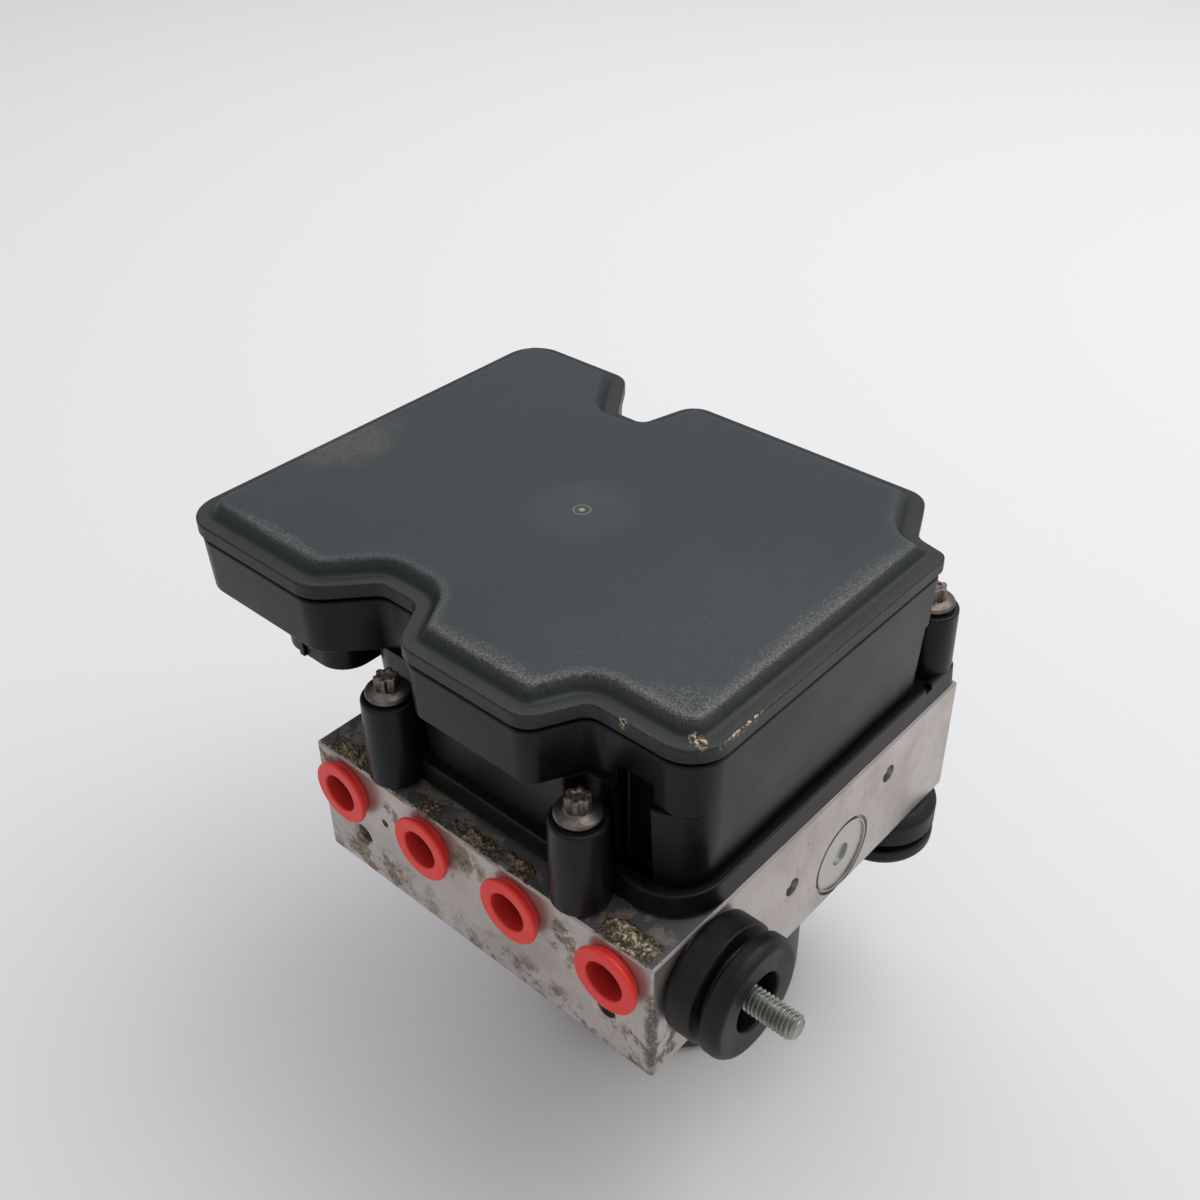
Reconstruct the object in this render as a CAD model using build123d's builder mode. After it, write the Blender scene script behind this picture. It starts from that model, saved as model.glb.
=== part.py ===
from build123d import *
import os
from math import atan2, cos, degrees, radians, sin, tan

# ABS modulator, in millimetres, +Z up. The origin is the motor axis on the motor's end face, which the unit
# stands on. The wheel ports face -Y, the mounting bush faces +X and the controller overhangs towards -X.

# --- Hydraulic block -------------------------------------------------------------------------------------
BLOCK_LENGTH = 102.0  # along the row of wheel ports
BLOCK_DEPTH = 115.5  # from the port face to the back
BLOCK_HEIGHT = 33.5
BLOCK_EDGE = 0.5  # broken edge
MOTOR_TO_FRONT = 68.6  # motor axis to the port face
PRESS_CLEARANCE = 0.02  # between a pressed or staked piece and its hole

PORT_COUNT = 4
PORT_PITCH = 27.1
PORT_DROP = 8.4  # port axis below the block's top
PORT_RADIUS = 5.45  # core of an M12 x 1 thread
PORT_DEPTH = 9.5
PORT_BEVEL = 0.6
MASTER_PORT_PITCH = 30.0
MASTER_PORT_INSET = 18.6  # master-cylinder ports back from the port face

BRACKET_HOLE_PITCH = 76.2
BRACKET_HOLE_DROP = 22.4
M6_CORE_RADIUS = 2.5
M6_RADIUS = 2.95
M6_DEPTH = 12.0
HOLE_BEVEL = 0.7
LEFT_HOLE_BACK = 25.0  # third mounting hole, back from the motor axis
LEFT_HOLE_RISE = 14.0
DIMPLE_RADIUS = 1.1
DIMPLE_LEFT = 28.9
DIMPLE_DROP = 12.5

BALL_RADIUS = 2.3
BALL_RECESS = 0.7  # how deep each staked ball sits below the side face
BALL_HOLE_DEPTH = 8.0
BALL_FRONT = (-20.5, 16.3)  # back from the motor axis, down from the block's top
BALL_REAR = (17.4, 9.4)

# --- Pump ------------------------------------------------------------------------------------------------
PUMP_RISE = 10.8  # pump axis above the motor face
PUMP_COVER_RADIUS = 9.2
PUMP_COVER_THICKNESS = 4.0
PUMP_COVER_RECESS = 0.5
STAKE_WIDTH = 0.9
STAKE_DEPTH = 0.9
STAKE_GAP = 0.4
PUMP_COVER_DIMPLE = 3.0
PUMP_BORE_RADIUS = 7.0
PISTON_RADIUS = 3.25
PISTON_LENGTH = 18.0
PISTON_BEVEL = 0.4
RUNNING_CLEARANCE = 0.03
CYLINDER_START = 14.5  # inner end of the pump cylinder, out from the motor axis
PUMP_SPRING_LENGTH = 7.0
PUMP_SPRING_WIRE = 0.35
PUMP_SPRING_RADIUS = 2.5
ECCENTRICITY = 1.2
ECCENTRIC_RADIUS = 6.0
ECCENTRIC_BEARING_RADIUS = 8.5
ECCENTRIC_BEARING_HEIGHT = 9.0
SWEEP_CLEARANCE = 0.3  # between the eccentric bearing's sweep and a pump piston

# --- Accumulators ----------------------------------------------------------------------------------------
ACCUMULATOR_PITCH = 40.0
ACCUMULATOR_RISE = 12.6
ACCUMULATOR_RADIUS = 10.0
ACCUMULATOR_DEPTH = 22.0
ACCUMULATOR_CLEARANCE = 0.05
ACCUMULATOR_PISTON_LENGTH = 7.0
ACCUMULATOR_PISTON_WALL = 1.8
ACCUMULATOR_COVER_THICKNESS = 2.5
ACCUMULATOR_COVER_RADIUS = 11.0
ACCUMULATOR_COVER_RECESS = 0.5
ACCUMULATOR_REST_GAP = 0.3
ACCUMULATOR_SPRING_WIRE = 0.7

# --- Solenoid valves -------------------------------------------------------------------------------------
VALVE_PITCH = 21.0
INLET_ROW = -38.0
OUTLET_ROW = -16.0
VALVE_RADIUS = 5.5
VALVE_DEPTH = 13.0
VALVE_COLLAR_RADIUS = 6.0
VALVE_COLLAR_HEIGHT = 1.6
DOME_RADIUS = 3.6
DOME_HEIGHT = 17.5  # dome above the block's top
DOME_WALL = 0.45
DOME_TOP = 1.5
DOME_BEVEL = 0.8
PLUNGER_CLEARANCE = 0.05
PLUNGER_LENGTH = 12.0
NEEDLE_RADIUS = 0.9
NEEDLE_CLEARANCE = 0.1
PLUNGER_TRAVEL = 0.3
VALVE_SEAT_RADIUS = 0.5
COIL_RADIUS = 9.2
COIL_HEIGHT = 14.0
COIL_CLEARANCE = 0.3
COIL_FLANGE = 1.2
COIL_WINDING_INSET = 1.0
COIL_PIN_RADIUS = 0.45
COIL_PIN_OFFSET = 6.0

# --- Motor -----------------------------------------------------------------------------------------------
MOTOR_LENGTH = 61.0
CAN_RADIUS = 36.0
CAN_WALL = 1.8
CAN_CORNER = 4.0
END_PLATE_RADIUS = 37.2
END_PLATE_THICKNESS = 4.0
EAR_RADIUS = 5.5
EAR_CIRCLE = 41.0
EAR_ANGLES = (90.0, 215.0, 325.0)
MOTOR_SCREW_RADIUS = 2.1
MOTOR_SCREW_HEAD_RADIUS = 4.0
MOTOR_SCREW_HEAD_HEIGHT = 3.5
MOTOR_SCREW_DEPTH = 12.0
SHAFT_RADIUS = 4.0
SHAFT_END_GAP = 1.0
SHAFT_TOP_GAP = 1.0
BEARING_RADIUS = 8.0
BEARING_HEIGHT = 6.0
NOSE_BEARING_RADIUS = 6.5
NOSE_BEARING_HEIGHT = 6.0
NOSE_HEIGHT = 3.0
MOTOR_BORE_RADIUS = 11.5
MOTOR_BORE_DEPTH = 20.0
MAGNET_ARC = 140.0
MAGNET_THICKNESS = 4.6
MAGNET_FOOT = 10.0
MAGNET_HEIGHT = 36.0
AIR_GAP = 0.8
CORE_FOOT = 13.0
CORE_HEIGHT = 28.0
CORE_SLOTS = 12
CORE_SLOT_WIDTH = 2.4
CORE_SLOT_DEPTH = 9.0
WINDING_HEIGHT = 3.0
WINDING_BULGE = 6.5
COMMUTATOR_RADIUS = 9.0
COMMUTATOR_HEIGHT = 9.0
BRUSH_GAP = 0.05
BRUSH_SIDE = 5.0
BRUSH_LENGTH = 12.0
BRUSH_PLATE_THICKNESS = 2.5
BRUSH_PLATE_GAP = 0.5
TERMINAL_BACK = 24.0
TERMINAL_RADIUS = 3.5
TERMINAL_BORE_RADIUS = 3.8

# --- Controller housing ----------------------------------------------------------------------------------
SEAL_THICKNESS = 0.5
SEAL_WIDTH = 2.4
BLOCK_SEAL_INSET = 0.2
FOOT_HEIGHT = 5.1  # foot's upper edge above the block
FOOT_SIDE_INSET = 0.3
FOOT_FRONT_INSET = 7.0  # between the front towers
FOOT_SHOULDER_INSET = 9.4  # beside them
FOOT_CORNER = 11.5
FOOT_BACK_CORNER = 3.0
FOOT_RIM = 1.5
FOOT_GROOVE_DEPTH = 2.2
FLOOR_THICKNESS = 3.0
TIER_HEIGHT = 26.0  # step between lower and upper wall, above the block
WALL_HEIGHT = 40.1  # top of the upper wall above the block
WALL_THICKNESS = 2.6
LOWER_DRAFT = 3.5
UPPER_DRAFT = 4.0
LOWER_FRONT_INSET = 9.6
LOWER_SHOULDER_INSET = 13.6
LOWER_RIGHT_INSET = 3.8
LOWER_LEFT_INSET = 5.1
LOWER_BACK_INSET = 3.0
LOWER_CORNER = 8.5
LOWER_BEND = 2.2
LOWER_NOTCH_CORNER = 3.0
HOUSING_INSET = 1.0  # upper wall under the edge of the cover
BOARD_LEDGE = 1.4
BOARD_HEIGHT = 34.5
BOARD_THICKNESS = 1.6
BOARD_GAP = 0.4
TOWER_RADIUS = 6.25
TOWER_HEIGHT = 22.6
TOWER_DISH_RADIUS = 5.5
TOWER_DISH_DEPTH = 0.9
FRONT_TOWER_PITCH = 56.4
FRONT_TOWER_INSET = 5.6
BACK_TOWER_PITCH = 87.6
BACK_TOWER_INSET = 5.1
POCKET_WIDTH = 6.4
POCKET_DEPTH = 4.2
POCKET_GAP = 0.9
RIB_THICKNESS = 0.7
TAB_LENGTH = 1.6
TAB_HEIGHT = 4.2
TAB_OFFSET = 5.2

# --- Cover -----------------------------------------------------------------------------------------------
COVER_FRONT_INSET = 1.0
COVER_RIGHT_INSET = 0.3
COVER_OVERHANG = 41.3  # past the block's left face
COVER_BACK_OVERHANG = 2.8
COVER_CORNER = 9.2
LOBE_CORNER = 6.5
HOLLOW_CORNER = 4.0
NOTCH_CORNER = 3.0
TOOL_CLEARANCE = 7.4  # screw axis to the hollow that lets a socket past
HOLLOW_BACK_CLEARANCE = 8.2
SEAM_GAP = 1.4
COVER_SKIRT = 3.6
COVER_SHELL = 2.0
RIM_WIDTH = 3.6
PLATEAU_HEIGHT = 3.0
PLATEAU_SLOPE_WIDTH = 2.3
COVER_SEAL_INSET = 1.3
GATE_RADIUS = 2.1
GATE_GROOVE = 0.3
GATE_LEFT = 19.5
GATE_FRONT = 9.8

# --- Connector -------------------------------------------------------------------------------------------
SOCKET_WIDTH = 24.0
SOCKET_LENGTH = 68.0
SOCKET_CORNER = 7.5
SOCKET_WALL = 1.8
SOCKET_DROP = 12.7  # shroud below the overhang
SOCKET_GAP = 3.0  # shroud to the lower wall
SOCKET_FRONT_INSET = 8.1
SOCKET_FLOOR = 2.0
PIN_SIDE = 0.7
PIN_COLUMNS = 12
PIN_ROWS = 3
PIN_PITCH = 3.2
PIN_ROW_PITCH = 4.4
PIN_REACH = 9.0
PIN_STICK = 1.0  # past the top of the board
BLADE_SPAN = 52.0
BLADE_WIDTH = 4.8
BLADE_THICKNESS = 0.8

# --- Fasteners, plugs and bushes -------------------------------------------------------------------------
SCREW_RADIUS = 2.4
SCREW_HOLE_RADIUS = 2.5
SCREW_DEPTH = 10.5
SCREW_FLANGE_RADIUS = 5.05
SCREW_FLANGE_THICKNESS = 1.1
SCREW_CONE_HEIGHT = 0.6
STAR_CORE_RADIUS = 2.25
STAR_LOBE_RADIUS = 0.62
STAR_LOBES = 6
STAR_HEIGHT = 4.3
SLEEVE_RADIUS = 3.7
SLEEVE_BORE_RADIUS = 2.75

PLUG_FLANGE_RADIUS = 8.1
PLUG_FLANGE_THICKNESS = 1.4
PLUG_STANDOFF = 3.0
PLUG_COLLAR_RADIUS = 6.9
PLUG_STEM_CLEARANCE = 0.05
PLUG_STEM_LENGTH = 8.5
PLUG_CUP_RADIUS = 4.8
PLUG_CUP_FLOOR_RADIUS = 3.9
PLUG_CUP_WALL = 1.0

SIDE_BUSH_INSET = 15.1  # behind the port face
SIDE_BUSH_DROP = 11.2
BOTTOM_BUSH_INSET = 10.2  # in from the right face
BOTTOM_BUSH_BACK = 35.9  # behind the motor axis
BUSH_RADIUS = 13.7
BUSH_LENGTH = 14.8
BUSH_FACE_RADIUS = 12.6
BUSH_FOOT_HEIGHT = 1.8
BUSH_EDGE = 0.7
BUSH_BORE_CLEARANCE = 0.1
BUSH_FOOT_RADIUS = 11.4
BUSH_NECK_RADIUS = 9.6
BUSH_GROOVE_START = 7.9
BUSH_GROOVE_END = 10.2
BUSH_MOUTH_RADIUS = 6.8
BUSH_MOUTH_DEPTH = 6.5
STUD_COLLAR_RADIUS = 4.2
STUD_COLLAR_HEIGHT = 2.5
STUD_HOLE_DEPTH = 10.0
STUD_REACH = 24.5
STUD_POINT = 0.8

# --- Levels and places worked out from the sizes above ---------------------------------------------------
MOTOR_FACE = MOTOR_LENGTH
BLOCK_TOP = MOTOR_FACE + BLOCK_HEIGHT
SIDE = BLOCK_LENGTH / 2
FRONT = -MOTOR_TO_FRONT
BACK = FRONT + BLOCK_DEPTH
PORT_LEVEL = BLOCK_TOP - PORT_DROP
BRACKET_LEVEL = BLOCK_TOP - BRACKET_HOLE_DROP
MASTER_PORT_Y = FRONT + MASTER_PORT_INSET
PUMP_LEVEL = MOTOR_FACE + PUMP_RISE
ACCUMULATOR_LEVEL = MOTOR_FACE + ACCUMULATOR_RISE
PISTON_START = ECCENTRIC_BEARING_RADIUS + ECCENTRICITY + SWEEP_CLEARANCE
FOOT_BOTTOM = BLOCK_TOP + SEAL_THICKNESS
FLOOR_TOP = FOOT_BOTTOM + FLOOR_THICKNESS
FOOT_TOP = BLOCK_TOP + FOOT_HEIGHT
TIER = BLOCK_TOP + TIER_HEIGHT
OVERHANG_FLOOR = TIER + WALL_THICKNESS
WALL_TOP = BLOCK_TOP + WALL_HEIGHT
BOARD_BOTTOM = BLOCK_TOP + BOARD_HEIGHT
BOARD_TOP = BOARD_BOTTOM + BOARD_THICKNESS
COVER_BOTTOM = WALL_TOP + SEAM_GAP
RIM_TOP = COVER_BOTTOM + COVER_SKIRT
TOWER_TOP = BLOCK_TOP + TOWER_HEIGHT
SCREW_SEAT = TOWER_TOP - TOWER_DISH_DEPTH

COVER_FRONT = FRONT + COVER_FRONT_INSET
COVER_RIGHT = SIDE - COVER_RIGHT_INSET
COVER_LEFT = -SIDE - COVER_OVERHANG
COVER_BACK = BACK + COVER_BACK_OVERHANG
LOWER_LEFT = -SIDE + LOWER_LEFT_INSET
LOWER_RIGHT = SIDE - LOWER_RIGHT_INSET
LOWER_FRONT = FRONT + LOWER_FRONT_INSET
LOWER_SHOULDER = FRONT + LOWER_SHOULDER_INSET
LOWER_BACK = BACK - LOWER_BACK_INSET

FRONT_TOWER_Y = FRONT + FRONT_TOWER_INSET
BACK_TOWER_Y = BACK - BACK_TOWER_INSET
TOWERS = [
    (-FRONT_TOWER_PITCH / 2, FRONT_TOWER_Y),
    (FRONT_TOWER_PITCH / 2, FRONT_TOWER_Y),
    (-BACK_TOWER_PITCH / 2, BACK_TOWER_Y),
    (BACK_TOWER_PITCH / 2, BACK_TOWER_Y),
]
PORT_XS = [(index - (PORT_COUNT - 1) / 2) * PORT_PITCH for index in range(PORT_COUNT)]
VALVE_XS = [(index - (PORT_COUNT - 1) / 2) * VALVE_PITCH for index in range(PORT_COUNT)]
EARS = [(EAR_CIRCLE * cos(radians(angle)), EAR_CIRCLE * sin(radians(angle))) for angle in EAR_ANGLES]
BALLS = (BALL_FRONT, BALL_REAR)
SIDES = {"right": 1, "left": -1}
CHIPS = (
    (16.0, 14.0, 24.0, 20.0, 2.4),
    (-34.0, 12.0, 14.0, 20.0, 2.0),
    (34.0, 14.0, 8.0, 10.0, 3.0),
    (-72.0, 26.0, 12.0, 16.0, 4.0),
)

SIDE_BUSH_Y = FRONT + SIDE_BUSH_INSET
SIDE_BUSH_LEVEL = BLOCK_TOP - SIDE_BUSH_DROP
BOTTOM_BUSH_X = SIDE - BOTTOM_BUSH_INSET
BOTTOM_BUSH_Y = BOTTOM_BUSH_BACK
SOCKET_RIGHT = LOWER_LEFT - SOCKET_GAP
SOCKET_CENTRE = (SOCKET_RIGHT - SOCKET_WIDTH / 2, FRONT + SOCKET_FRONT_INSET + SOCKET_LENGTH / 2)
SOCKET_BOTTOM = TIER - SOCKET_DROP

os.makedirs("parts", exist_ok=True)


def save(piece, name):
    """Label a finished piece and write it as one STEP file."""
    piece.label = name
    export_step(piece, f"parts/{name}.step")


def side_plane(sign, y, z):
    """Plane on a side face of the block, its normal pointing out of the block."""
    return Plane(origin=(sign * SIDE, y, z), x_dir=(0, sign, 0), z_dir=(sign, 0, 0))


def front_plane(x, z):
    """Plane on the port face, its normal pointing out of the block."""
    return Plane(origin=(x, FRONT, z), x_dir=(1, 0, 0), z_dir=(0, -1, 0))


def back_plane(x, z):
    """Plane on the back face, its normal pointing out of the block."""
    return Plane(origin=(x, BACK, z), x_dir=(-1, 0, 0), z_dir=(0, 1, 0))


def top_plane(x, y, z=BLOCK_TOP):
    """Level plane at a height, its normal pointing up."""
    return Plane(origin=(x, y, z), x_dir=(1, 0, 0), z_dir=(0, 0, 1))


def under_plane(x, y, z=MOTOR_FACE):
    """Level plane at a height, its normal pointing down."""
    return Plane(origin=(x, y, z), x_dir=(1, 0, 0), z_dir=(0, 0, -1))


def turn(seat, points, mode=Mode.ADD):
    """Turn a closed (radius, reach) profile about a seat's normal, in the part being built."""
    radial = Plane(origin=seat.origin, x_dir=seat.x_dir, z_dir=seat.x_dir.cross(seat.z_dir))
    with BuildSketch(radial) as profile:
        with BuildLine():
            Polyline(*points, close=True)
        make_face()
    revolve(profile.sketch, axis=Axis(seat.origin, seat.z_dir), mode=mode)


def disc(seat, radius, start, end, mode=Mode.ADD):
    """Cylinder about a seat's normal, from one reach along it to another, in the part being built."""
    turn(seat, [(0, start), (radius, start), (radius, end), (0, end)], mode)


def ring(seat, bore, radius, start, end, mode=Mode.ADD):
    """Tube about a seat's normal, from one reach along it to another, in the part being built."""
    turn(seat, [(bore, start), (radius, start), (radius, end), (bore, end)], mode)


def drill(seat, radius, depth, bevel=0.0):
    """Cut a drilled hole into the part being built: a bevelled mouth, a straight wall and a 118-degree tip."""
    tip = radius * tan(radians(31))
    points = [(0, bevel), (radius + 2 * bevel, bevel), (radius, -bevel), (radius, -depth), (0, -depth - tip)]
    turn(seat, points if bevel else [(0, 0), (radius, 0)] + points[3:], Mode.SUBTRACT)


def rounded(corners, inset=0.0, level=0.0):
    """Level face with a rounded outline, each corner with its own radius, pulled in all round by an inset."""
    with BuildSketch(Plane.XY.offset(level)) as face:
        with BuildLine():
            FilletPolyline([point for point, _ in corners], radius=[radius for _, radius in corners], close=True)
        make_face()
        if inset:
            offset(amount=-inset)
    return face.sketch


def slab(corners, inset, start, end, draft=0.0, mode=Mode.ADD):
    """Slab of an inset outline between two levels, its walls leaning in by a draft angle, in the part being built."""
    extrude(rounded(corners, inset, start), amount=end - start, taper=draft, mode=mode)


def cover_corners():
    """Corners of the cover's outline, with hollows that let a socket reach the screws in the towers."""
    front_x = FRONT_TOWER_PITCH / 2
    back_x = BACK_TOWER_PITCH / 2
    hollow_front = FRONT_TOWER_Y + TOOL_CLEARANCE
    hollow_back = BACK_TOWER_Y - HOLLOW_BACK_CLEARANCE
    return [
        ((COVER_LEFT, COVER_FRONT), COVER_CORNER),
        ((-front_x - 3 * TOOL_CLEARANCE, COVER_FRONT), LOBE_CORNER),
        ((-front_x - 1.5 * TOOL_CLEARANCE, hollow_front), HOLLOW_CORNER),
        ((-front_x + 0.55 * TOOL_CLEARANCE, hollow_front), HOLLOW_CORNER),
        ((-front_x + 1.42 * TOOL_CLEARANCE, COVER_FRONT), LOBE_CORNER),
        ((front_x - 1.42 * TOOL_CLEARANCE, COVER_FRONT), LOBE_CORNER),
        ((front_x - 0.55 * TOOL_CLEARANCE, hollow_front), HOLLOW_CORNER),
        ((COVER_RIGHT, hollow_front), COVER_CORNER),
        ((COVER_RIGHT, hollow_back - 2.1), NOTCH_CORNER),
        ((back_x - 2.0, hollow_back), HOLLOW_CORNER),
        ((back_x - 1.15 * HOLLOW_BACK_CLEARANCE, COVER_BACK), LOBE_CORNER),
        ((-back_x + 1.15 * HOLLOW_BACK_CLEARANCE, COVER_BACK), LOBE_CORNER),
        ((-back_x + 0.65 * HOLLOW_BACK_CLEARANCE, hollow_back), NOTCH_CORNER),
        ((-back_x - 0.35 * HOLLOW_BACK_CLEARANCE, hollow_back), NOTCH_CORNER),
        ((-back_x - 1.7 * HOLLOW_BACK_CLEARANCE, COVER_BACK), LOBE_CORNER),
        ((COVER_LEFT, COVER_BACK), COVER_CORNER),
    ]


def lower_corners():
    """Corners of the lower wall's outline at its foot, which steps in round the four towers."""
    shoulder = FRONT_TOWER_PITCH / 2 - TOOL_CLEARANCE
    notch = BACK_TOWER_PITCH / 2 - HOLLOW_BACK_CLEARANCE
    side_end = BACK_TOWER_Y - HOLLOW_BACK_CLEARANCE - LOWER_BEND
    return [
        ((LOWER_LEFT, LOWER_SHOULDER), LOWER_CORNER),
        ((-shoulder - LOWER_BEND, LOWER_SHOULDER), LOWER_BEND),
        ((-shoulder + LOWER_BEND, LOWER_FRONT), LOWER_BEND),
        ((shoulder - LOWER_BEND, LOWER_FRONT), LOWER_BEND),
        ((shoulder + LOWER_BEND, LOWER_SHOULDER), LOWER_BEND),
        ((LOWER_RIGHT, LOWER_SHOULDER), LOWER_CORNER),
        ((LOWER_RIGHT, side_end), LOWER_NOTCH_CORNER),
        ((notch, side_end), LOWER_NOTCH_CORNER),
        ((notch, LOWER_BACK), LOWER_NOTCH_CORNER),
        ((-notch, LOWER_BACK), LOWER_NOTCH_CORNER),
        ((-notch, side_end), LOWER_NOTCH_CORNER),
        ((LOWER_LEFT, side_end), LOWER_NOTCH_CORNER),
    ]


def foot_corners():
    """Corners of the foot, the width of the block."""
    side = SIDE - FOOT_SIDE_INSET
    back = BACK - FOOT_SIDE_INSET
    shoulder = FRONT + FOOT_SHOULDER_INSET
    return [
        ((-side, shoulder), FOOT_CORNER),
        ((side, shoulder), FOOT_CORNER),
        ((side, back), FOOT_BACK_CORNER),
        ((-side, back), FOOT_BACK_CORNER),
    ]


def spring(name, seat, length, mean_radius, wire_radius, turns):
    """Round-wire compression spring standing on a seat, along the seat's normal."""
    pitch = (length - 2 * wire_radius) / turns
    with BuildPart() as coil_spring:
        with BuildLine() as path:
            foot = seat.offset(wire_radius).origin
            Helix(pitch=pitch, height=pitch * turns, radius=mean_radius, center=foot, direction=seat.z_dir)
        with BuildSketch(Plane(path.line @ 0, z_dir=path.line % 0)):
            Circle(wire_radius)
        sweep(is_frenet=True)
    save(coil_spring.part, name)


# --- Hydraulic block -------------------------------------------------------------------------------------
with BuildPart() as hydraulic_block:
    with BuildSketch(Plane.XY.offset(MOTOR_FACE)):
        with Locations((0, (FRONT + BACK) / 2)):
            Rectangle(BLOCK_LENGTH, BLOCK_DEPTH)
    extrude(amount=BLOCK_HEIGHT)
    chamfer(hydraulic_block.edges(), length=BLOCK_EDGE)
    for x in PORT_XS:
        drill(front_plane(x, PORT_LEVEL), PORT_RADIUS, PORT_DEPTH, PORT_BEVEL)
    for sign in SIDES.values():
        drill(under_plane(sign * MASTER_PORT_PITCH / 2, MASTER_PORT_Y), PORT_RADIUS, PORT_DEPTH, PORT_BEVEL)
        drill(front_plane(sign * BRACKET_HOLE_PITCH / 2, BRACKET_LEVEL), M6_CORE_RADIUS, M6_DEPTH, HOLE_BEVEL)
        for y, drop in BALLS:
            drill(side_plane(sign, y, BLOCK_TOP - drop), BALL_RADIUS + PRESS_CLEARANCE, BALL_HOLE_DEPTH)
        cover_end = -PUMP_COVER_RECESS - PUMP_COVER_THICKNESS
        pump_axis = side_plane(sign, 0, PUMP_LEVEL)
        disc(pump_axis, PUMP_COVER_RADIUS + PRESS_CLEARANCE, 0, cover_end, Mode.SUBTRACT)
        disc(pump_axis, PUMP_BORE_RADIUS + PRESS_CLEARANCE, cover_end, -SIDE, Mode.SUBTRACT)
        stake = PUMP_COVER_RADIUS + STAKE_GAP
        ring(pump_axis, stake, stake + STAKE_WIDTH, 0, -STAKE_DEPTH, Mode.SUBTRACT)
        reservoir = back_plane(sign * ACCUMULATOR_PITCH / 2, ACCUMULATOR_LEVEL)
        disc(reservoir, ACCUMULATOR_RADIUS, 0, -ACCUMULATOR_DEPTH, Mode.SUBTRACT)
        lid_seat = ACCUMULATOR_COVER_RECESS + ACCUMULATOR_COVER_THICKNESS
        disc(reservoir, ACCUMULATOR_COVER_RADIUS + PRESS_CLEARANCE, 0, -lid_seat, Mode.SUBTRACT)
    drill(front_plane(-DIMPLE_LEFT, BLOCK_TOP - DIMPLE_DROP), DIMPLE_RADIUS, DIMPLE_RADIUS)
    drill(side_plane(-1, LEFT_HOLE_BACK, MOTOR_FACE + LEFT_HOLE_RISE), M6_CORE_RADIUS, M6_DEPTH, HOLE_BEVEL)
    drill(side_plane(1, SIDE_BUSH_Y, SIDE_BUSH_LEVEL), M6_RADIUS + PRESS_CLEARANCE, STUD_HOLE_DEPTH)
    drill(under_plane(BOTTOM_BUSH_X, BOTTOM_BUSH_Y), M6_RADIUS + PRESS_CLEARANCE, STUD_HOLE_DEPTH)
    for x, y in TOWERS:
        drill(top_plane(x, y), SCREW_HOLE_RADIUS, SCREW_DEPTH, HOLE_BEVEL)
    for x, y in EARS:
        drill(under_plane(x, y), MOTOR_SCREW_RADIUS + PRESS_CLEARANCE, MOTOR_SCREW_DEPTH, HOLE_BEVEL)
    for x in VALVE_XS:
        for row in (INLET_ROW, OUTLET_ROW):
            disc(top_plane(x, row), VALVE_RADIUS + PRESS_CLEARANCE, 0, -VALVE_DEPTH, Mode.SUBTRACT)
    disc(top_plane(0, 0, MOTOR_FACE), MOTOR_BORE_RADIUS, 0, MOTOR_BORE_DEPTH, Mode.SUBTRACT)
    disc(top_plane(0, TERMINAL_BACK, MOTOR_FACE), TERMINAL_BORE_RADIUS, 0, BLOCK_HEIGHT, Mode.SUBTRACT)
save(hydraulic_block.part, "hydraulic_block")

# --- Plugs, balls and staked covers ----------------------------------------------------------------------
PLUG_PROFILE = [
    (0, -PLUG_STEM_LENGTH),
    (PORT_RADIUS - PLUG_STEM_CLEARANCE, -PLUG_STEM_LENGTH),
    (PORT_RADIUS - PLUG_STEM_CLEARANCE, 0),
    (PLUG_COLLAR_RADIUS, 0),
    (PLUG_COLLAR_RADIUS, PLUG_STANDOFF - PLUG_FLANGE_THICKNESS),
    (PLUG_FLANGE_RADIUS, PLUG_STANDOFF - PLUG_FLANGE_THICKNESS),
    (PLUG_FLANGE_RADIUS, PLUG_STANDOFF),
    (PLUG_CUP_RADIUS, PLUG_STANDOFF),
    (PLUG_CUP_FLOOR_RADIUS, PLUG_CUP_WALL - PLUG_STEM_LENGTH),
    (0, PLUG_CUP_WALL - PLUG_STEM_LENGTH),
]
for number, x in enumerate(PORT_XS, start=1):
    with BuildPart() as wheel_port_plug:
        turn(front_plane(x, PORT_LEVEL), PLUG_PROFILE)
    save(wheel_port_plug.part, f"wheel_port_plug_{number}")

for number, sign in enumerate(SIDES.values(), start=1):
    with BuildPart() as master_port_plug:
        turn(under_plane(sign * MASTER_PORT_PITCH / 2, MASTER_PORT_Y), PLUG_PROFILE)
    save(master_port_plug.part, f"master_port_plug_{number}")

with BuildPart() as sealing_balls:
    for sign in SIDES.values():
        for y, drop in BALLS:
            with Locations((sign * (SIDE - BALL_RECESS - BALL_RADIUS), y, BLOCK_TOP - drop)):
                Sphere(BALL_RADIUS)
save(sealing_balls.part, "sealing_balls")

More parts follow.
